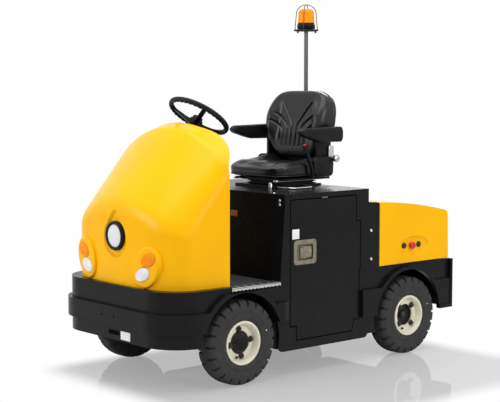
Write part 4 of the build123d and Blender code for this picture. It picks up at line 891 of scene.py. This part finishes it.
# Stop buttons' pocket: two dark knobs beside the red button on each side, which the cover carries
pocket = {"x": 0.513, "y": (0.650, 0.776), "z": 0.647}
knobProfile = [(0.017, 0), (0.017, 0.006), (0.013, 0.007), (0.012, 0.012), (0.009, 0.013)]
knobs = [turned(knobProfile, (side * pocket["x"], y, pocket["z"]), (side, 0, 0), 28, flutes=10,
                fluteDepth=0.04) for _, side in sides for y in pocket["y"]]
makePiece("pocketKnobs", knobs, darkNut, "rear_cover")

# Driver's place: display, switch caps, horn cap, finger grips and pedal rubbers
dash = {"displayAt": (0.185, -0.690, 1.205), "displayFacing": (0, 0.9724, 0.2334),
        "displayHalf": (0.066, 0.042), "capAt": (-0.150, -0.710, 1.150), "capStep": -0.044, "caps": 4}
display = plate(dash["displayAt"], dash["displayFacing"], dash["displayHalf"], 0.0015, 0.004)
makePiece("dashDisplay", [display], darkGlass, "tractor")
capX, capY, capZ = dash["capAt"]
caps = [plate((capX + dash["capStep"] * i, capY, capZ), (0, 1, 0), (0.011, 0.008), 0.004, 0.003)
        for i in range(dash["caps"])]
makePiece("switchCaps", caps, blankLabel, "tractor")
# the grips are a ring under the rim whose thickness swings as a cosine of the angle
wheel = {"middle": (0, -0.488, 1.426), "tilt": 34.0, "gripRadius": 0.171, "gripBelow": 0.0055,
         "gripTube": 0.0118, "gripSwing": 0.0015, "grips": 36}
tilt = math.radians(wheel["tilt"])
steerAxis = np.array((0, math.sin(tilt), math.cos(tilt)))
horn = turned([(0.030, -0.022), (0.030, -0.014), (0.026, -0.009), (0.016, -0.006), (0.006, -0.005)],
              wheel["middle"], steerAxis, 40)
makePiece("hornCap", [horn], blackAbs, "steering_wheel")
around = 2 * np.pi * np.arange(wheel["grips"] * 8) / (wheel["grips"] * 8)
across, along, _ = axes(steerAxis)
gripRing = (np.array(wheel["middle"]) - wheel["gripBelow"] * steerAxis
            + wheel["gripRadius"] * (np.outer(np.cos(around), across) + np.outer(np.sin(around), along)))
gripTube = wheel["gripTube"] + wheel["gripSwing"] * np.cos(wheel["grips"] * around)
makePiece("fingerGrips", [tube(gripRing, gripTube, 14, ring=True, helper=steerAxis)], blackAbs,
          "steering_wheel")
# each pedal's rubber: its middle and half width
pedalRubber = {"pedals": ((-0.090, 0.034), (-0.225, 0.042)), "ribs": 5, "y": -0.791, "z": 0.580,
               "stepY": -0.0085, "stepZ": 0.0185, "facing": (0, 0.92, 0.39)}
padRibs = []
for x, half in pedalRubber["pedals"]:
    for i in range(pedalRubber["ribs"]):
        ribY = pedalRubber["y"] + pedalRubber["stepY"] * i
        ribZ = pedalRubber["z"] + pedalRubber["stepZ"] * i
        padRibs.append(plate((x, ribY, ribZ), pedalRubber["facing"], (half * 0.88, 0.0035), 0.004, 0.003,
                             0.001))
makePiece("pedalRibs", padRibs, tyreRubber, "tractor")
print("tow tractor: fittings done")


# Stage: a pale glossy floor that turns white further off, so that no horizon shows
studio = {"floorHalf": 30.0, "lacquer": "#DFDFE1", "greyMiddle": (0.45, -0.10, 0),
          "greyHalf": (0.80, 0.92, 1), "fade": (0.06, 0.30), "evenGrey": "#C8C8C9", "evenShare": 0.55,
          "skyLight": 0.55}
floorMesh = bpy.data.meshes.new("studioFloor")
h = studio["floorHalf"]
floorMesh.from_pydata([(-h, -h, 0), (h, -h, 0), (h, h, 0), (-h, h, 0)], [], [(0, 1, 2, 3)])
floor = bpy.data.objects.new("studioFloor", floorMesh)
bpy.context.collection.objects.link(floor)
# Polished pale lacquer; for the camera it turns to plain white light further off
floorMaterial = bpy.data.materials.new("paleStudioLacquer")
floorMaterial.use_nodes = True
tree = floorMaterial.node_tree
floorShader = tree.nodes["Principled BSDF"]
floorShader.inputs["Base Color"].default_value = linear(studio["lacquer"])
floorShader.inputs["Roughness"].default_value = 0.02
floorShader.inputs["IOR"].default_value = 1.75
place = addNode(tree, "TexCoord").outputs["Object"]
# how far a point lies outside the grey rectangle
centred = addNode(tree, "VectorMath", {"operation": "SUBTRACT"}, {0: place, 1: studio["greyMiddle"]})
folded = addNode(tree, "VectorMath", {"operation": "ABSOLUTE"}, {0: centred.outputs["Vector"]})
beyond = addNode(tree, "VectorMath", {"operation": "SUBTRACT"}, {0: folded.outputs["Vector"],
                                                                 1: studio["greyHalf"]})
outside = addNode(tree, "VectorMath", {"operation": "MAXIMUM"}, {0: beyond.outputs["Vector"], 1: (0, 0, 0)})
distance = addNode(tree, "VectorMath", {"operation": "LENGTH"}, {0: outside.outputs["Vector"]})
far = addNode(tree, "MapRange", {"interpolation_type": "SMOOTHSTEP"}, {
    "Value": distance.outputs["Value"], "From Min": studio["fade"][0], "From Max": studio["fade"][1]})
white = addNode(tree, "Emission", None, {"Color": (1, 1, 1, 1), "Strength": 1.0})
# a share of even grey keeps the shadow pale near the wheels
grey = addNode(tree, "Emission", None, {"Color": linear(studio["evenGrey"]), "Strength": 1.0})
near = addNode(tree, "MixShader", None, {0: studio["evenShare"], 1: floorShader.outputs["BSDF"],
                                         2: grey.outputs["Emission"]})
blend = addNode(tree, "MixShader", None, {0: far.outputs["Result"], 1: near.outputs["Shader"],
                                          2: white.outputs["Emission"]})
rays = addNode(tree, "LightPath")
plain = addNode(tree, "MixShader", None, {0: rays.outputs["Is Camera Ray"], 1: floorShader.outputs["BSDF"],
                                          2: blend.outputs["Shader"]})
tree.links.new(plain.outputs["Shader"], tree.nodes["Material Output"].inputs["Surface"])
floorMesh.materials.append(floorMaterial)

world = bpy.data.worlds.new("whiteStudio")
bpy.context.scene.world = world
world.use_nodes = True
tree = world.node_tree
skyLight = tree.nodes["Background"]
skyLight.inputs["Color"].default_value = (1, 1, 1, 1)
skyLight.inputs["Strength"].default_value = studio["skyLight"]
backdrop = addNode(tree, "Background", None, {"Color": (1, 1, 1, 1), "Strength": 1.0})
rays = addNode(tree, "LightPath")
# what the camera sees, straight, through a lens or in a reflection, is plain white
direct = addNode(tree, "Math", {"operation": "MAXIMUM"}, {0: rays.outputs["Is Camera Ray"],
                                                          1: rays.outputs["Is Transmission Ray"]})
seen = addNode(tree, "Math", {"operation": "MAXIMUM"}, {0: direct.outputs["Value"],
                                                        1: rays.outputs["Is Glossy Ray"]})
mixed = addNode(tree, "MixShader", None, {0: seen.outputs["Value"], 1: skyLight.outputs["Background"],
                                          2: backdrop.outputs["Background"]})
tree.links.new(mixed.outputs["Shader"], tree.nodes["World Output"].inputs["Surface"])

lightTable = (
    {"name": "topSoftbox", "at": (0.5, -0.6, 4.6), "aim": (0, 0, 0.6), "size": (4.5, 3.5), "watts": 132},
    {"name": "frontSoftbox", "at": (-1.8, -5.2, 2.6), "aim": (0, -0.6, 0.8), "size": (2.6, 2.2), "watts": 85},
    {"name": "sideSoftbox", "at": (5.0, 0.8, 2.8), "aim": (0, 0.2, 0.7), "size": (2.6, 2.2), "watts": 75},
    {"name": "rearSoftbox", "at": (-2.4, 4.2, 3.2), "aim": (0, 0, 1.0), "size": (2.4, 2.0), "watts": 60},
)
for light in lightTable:
    lamp = bpy.data.lights.new(light["name"], "AREA")
    lamp.shape = "RECTANGLE"
    lamp.size, lamp.size_y = light["size"]
    lamp.energy = light["watts"]
    lampObject = bpy.data.objects.new(light["name"], lamp)
    lampObject.location = light["at"]
    towards = Vector(light["aim"]) - Vector(light["at"])
    lampObject.rotation_euler = towards.to_track_quat("-Z", "Y").to_euler()
    bpy.context.collection.objects.link(lampObject)

# Camera, as solved from the photograph
view = {"at": (6.0046, -5.28905, 1.6687), "turn": 49.22, "pitch": 5.375, "lens": 98.46, "sensor": 36.0}
cameraData = bpy.data.cameras.new("photoCamera")
cameraData.sensor_fit = "HORIZONTAL"
cameraData.sensor_width = view["sensor"]
cameraData.lens = view["lens"]
camera = bpy.data.objects.new("photoCamera", cameraData)
camera.location = view["at"]
camera.rotation_euler = (math.radians(90 - view["pitch"]), 0, math.radians(view["turn"]))
bpy.context.collection.objects.link(camera)
bpy.context.scene.camera = camera
bpy.context.scene.view_settings.view_transform = "Standard"

print("tow tractor: stage, lights and camera done")
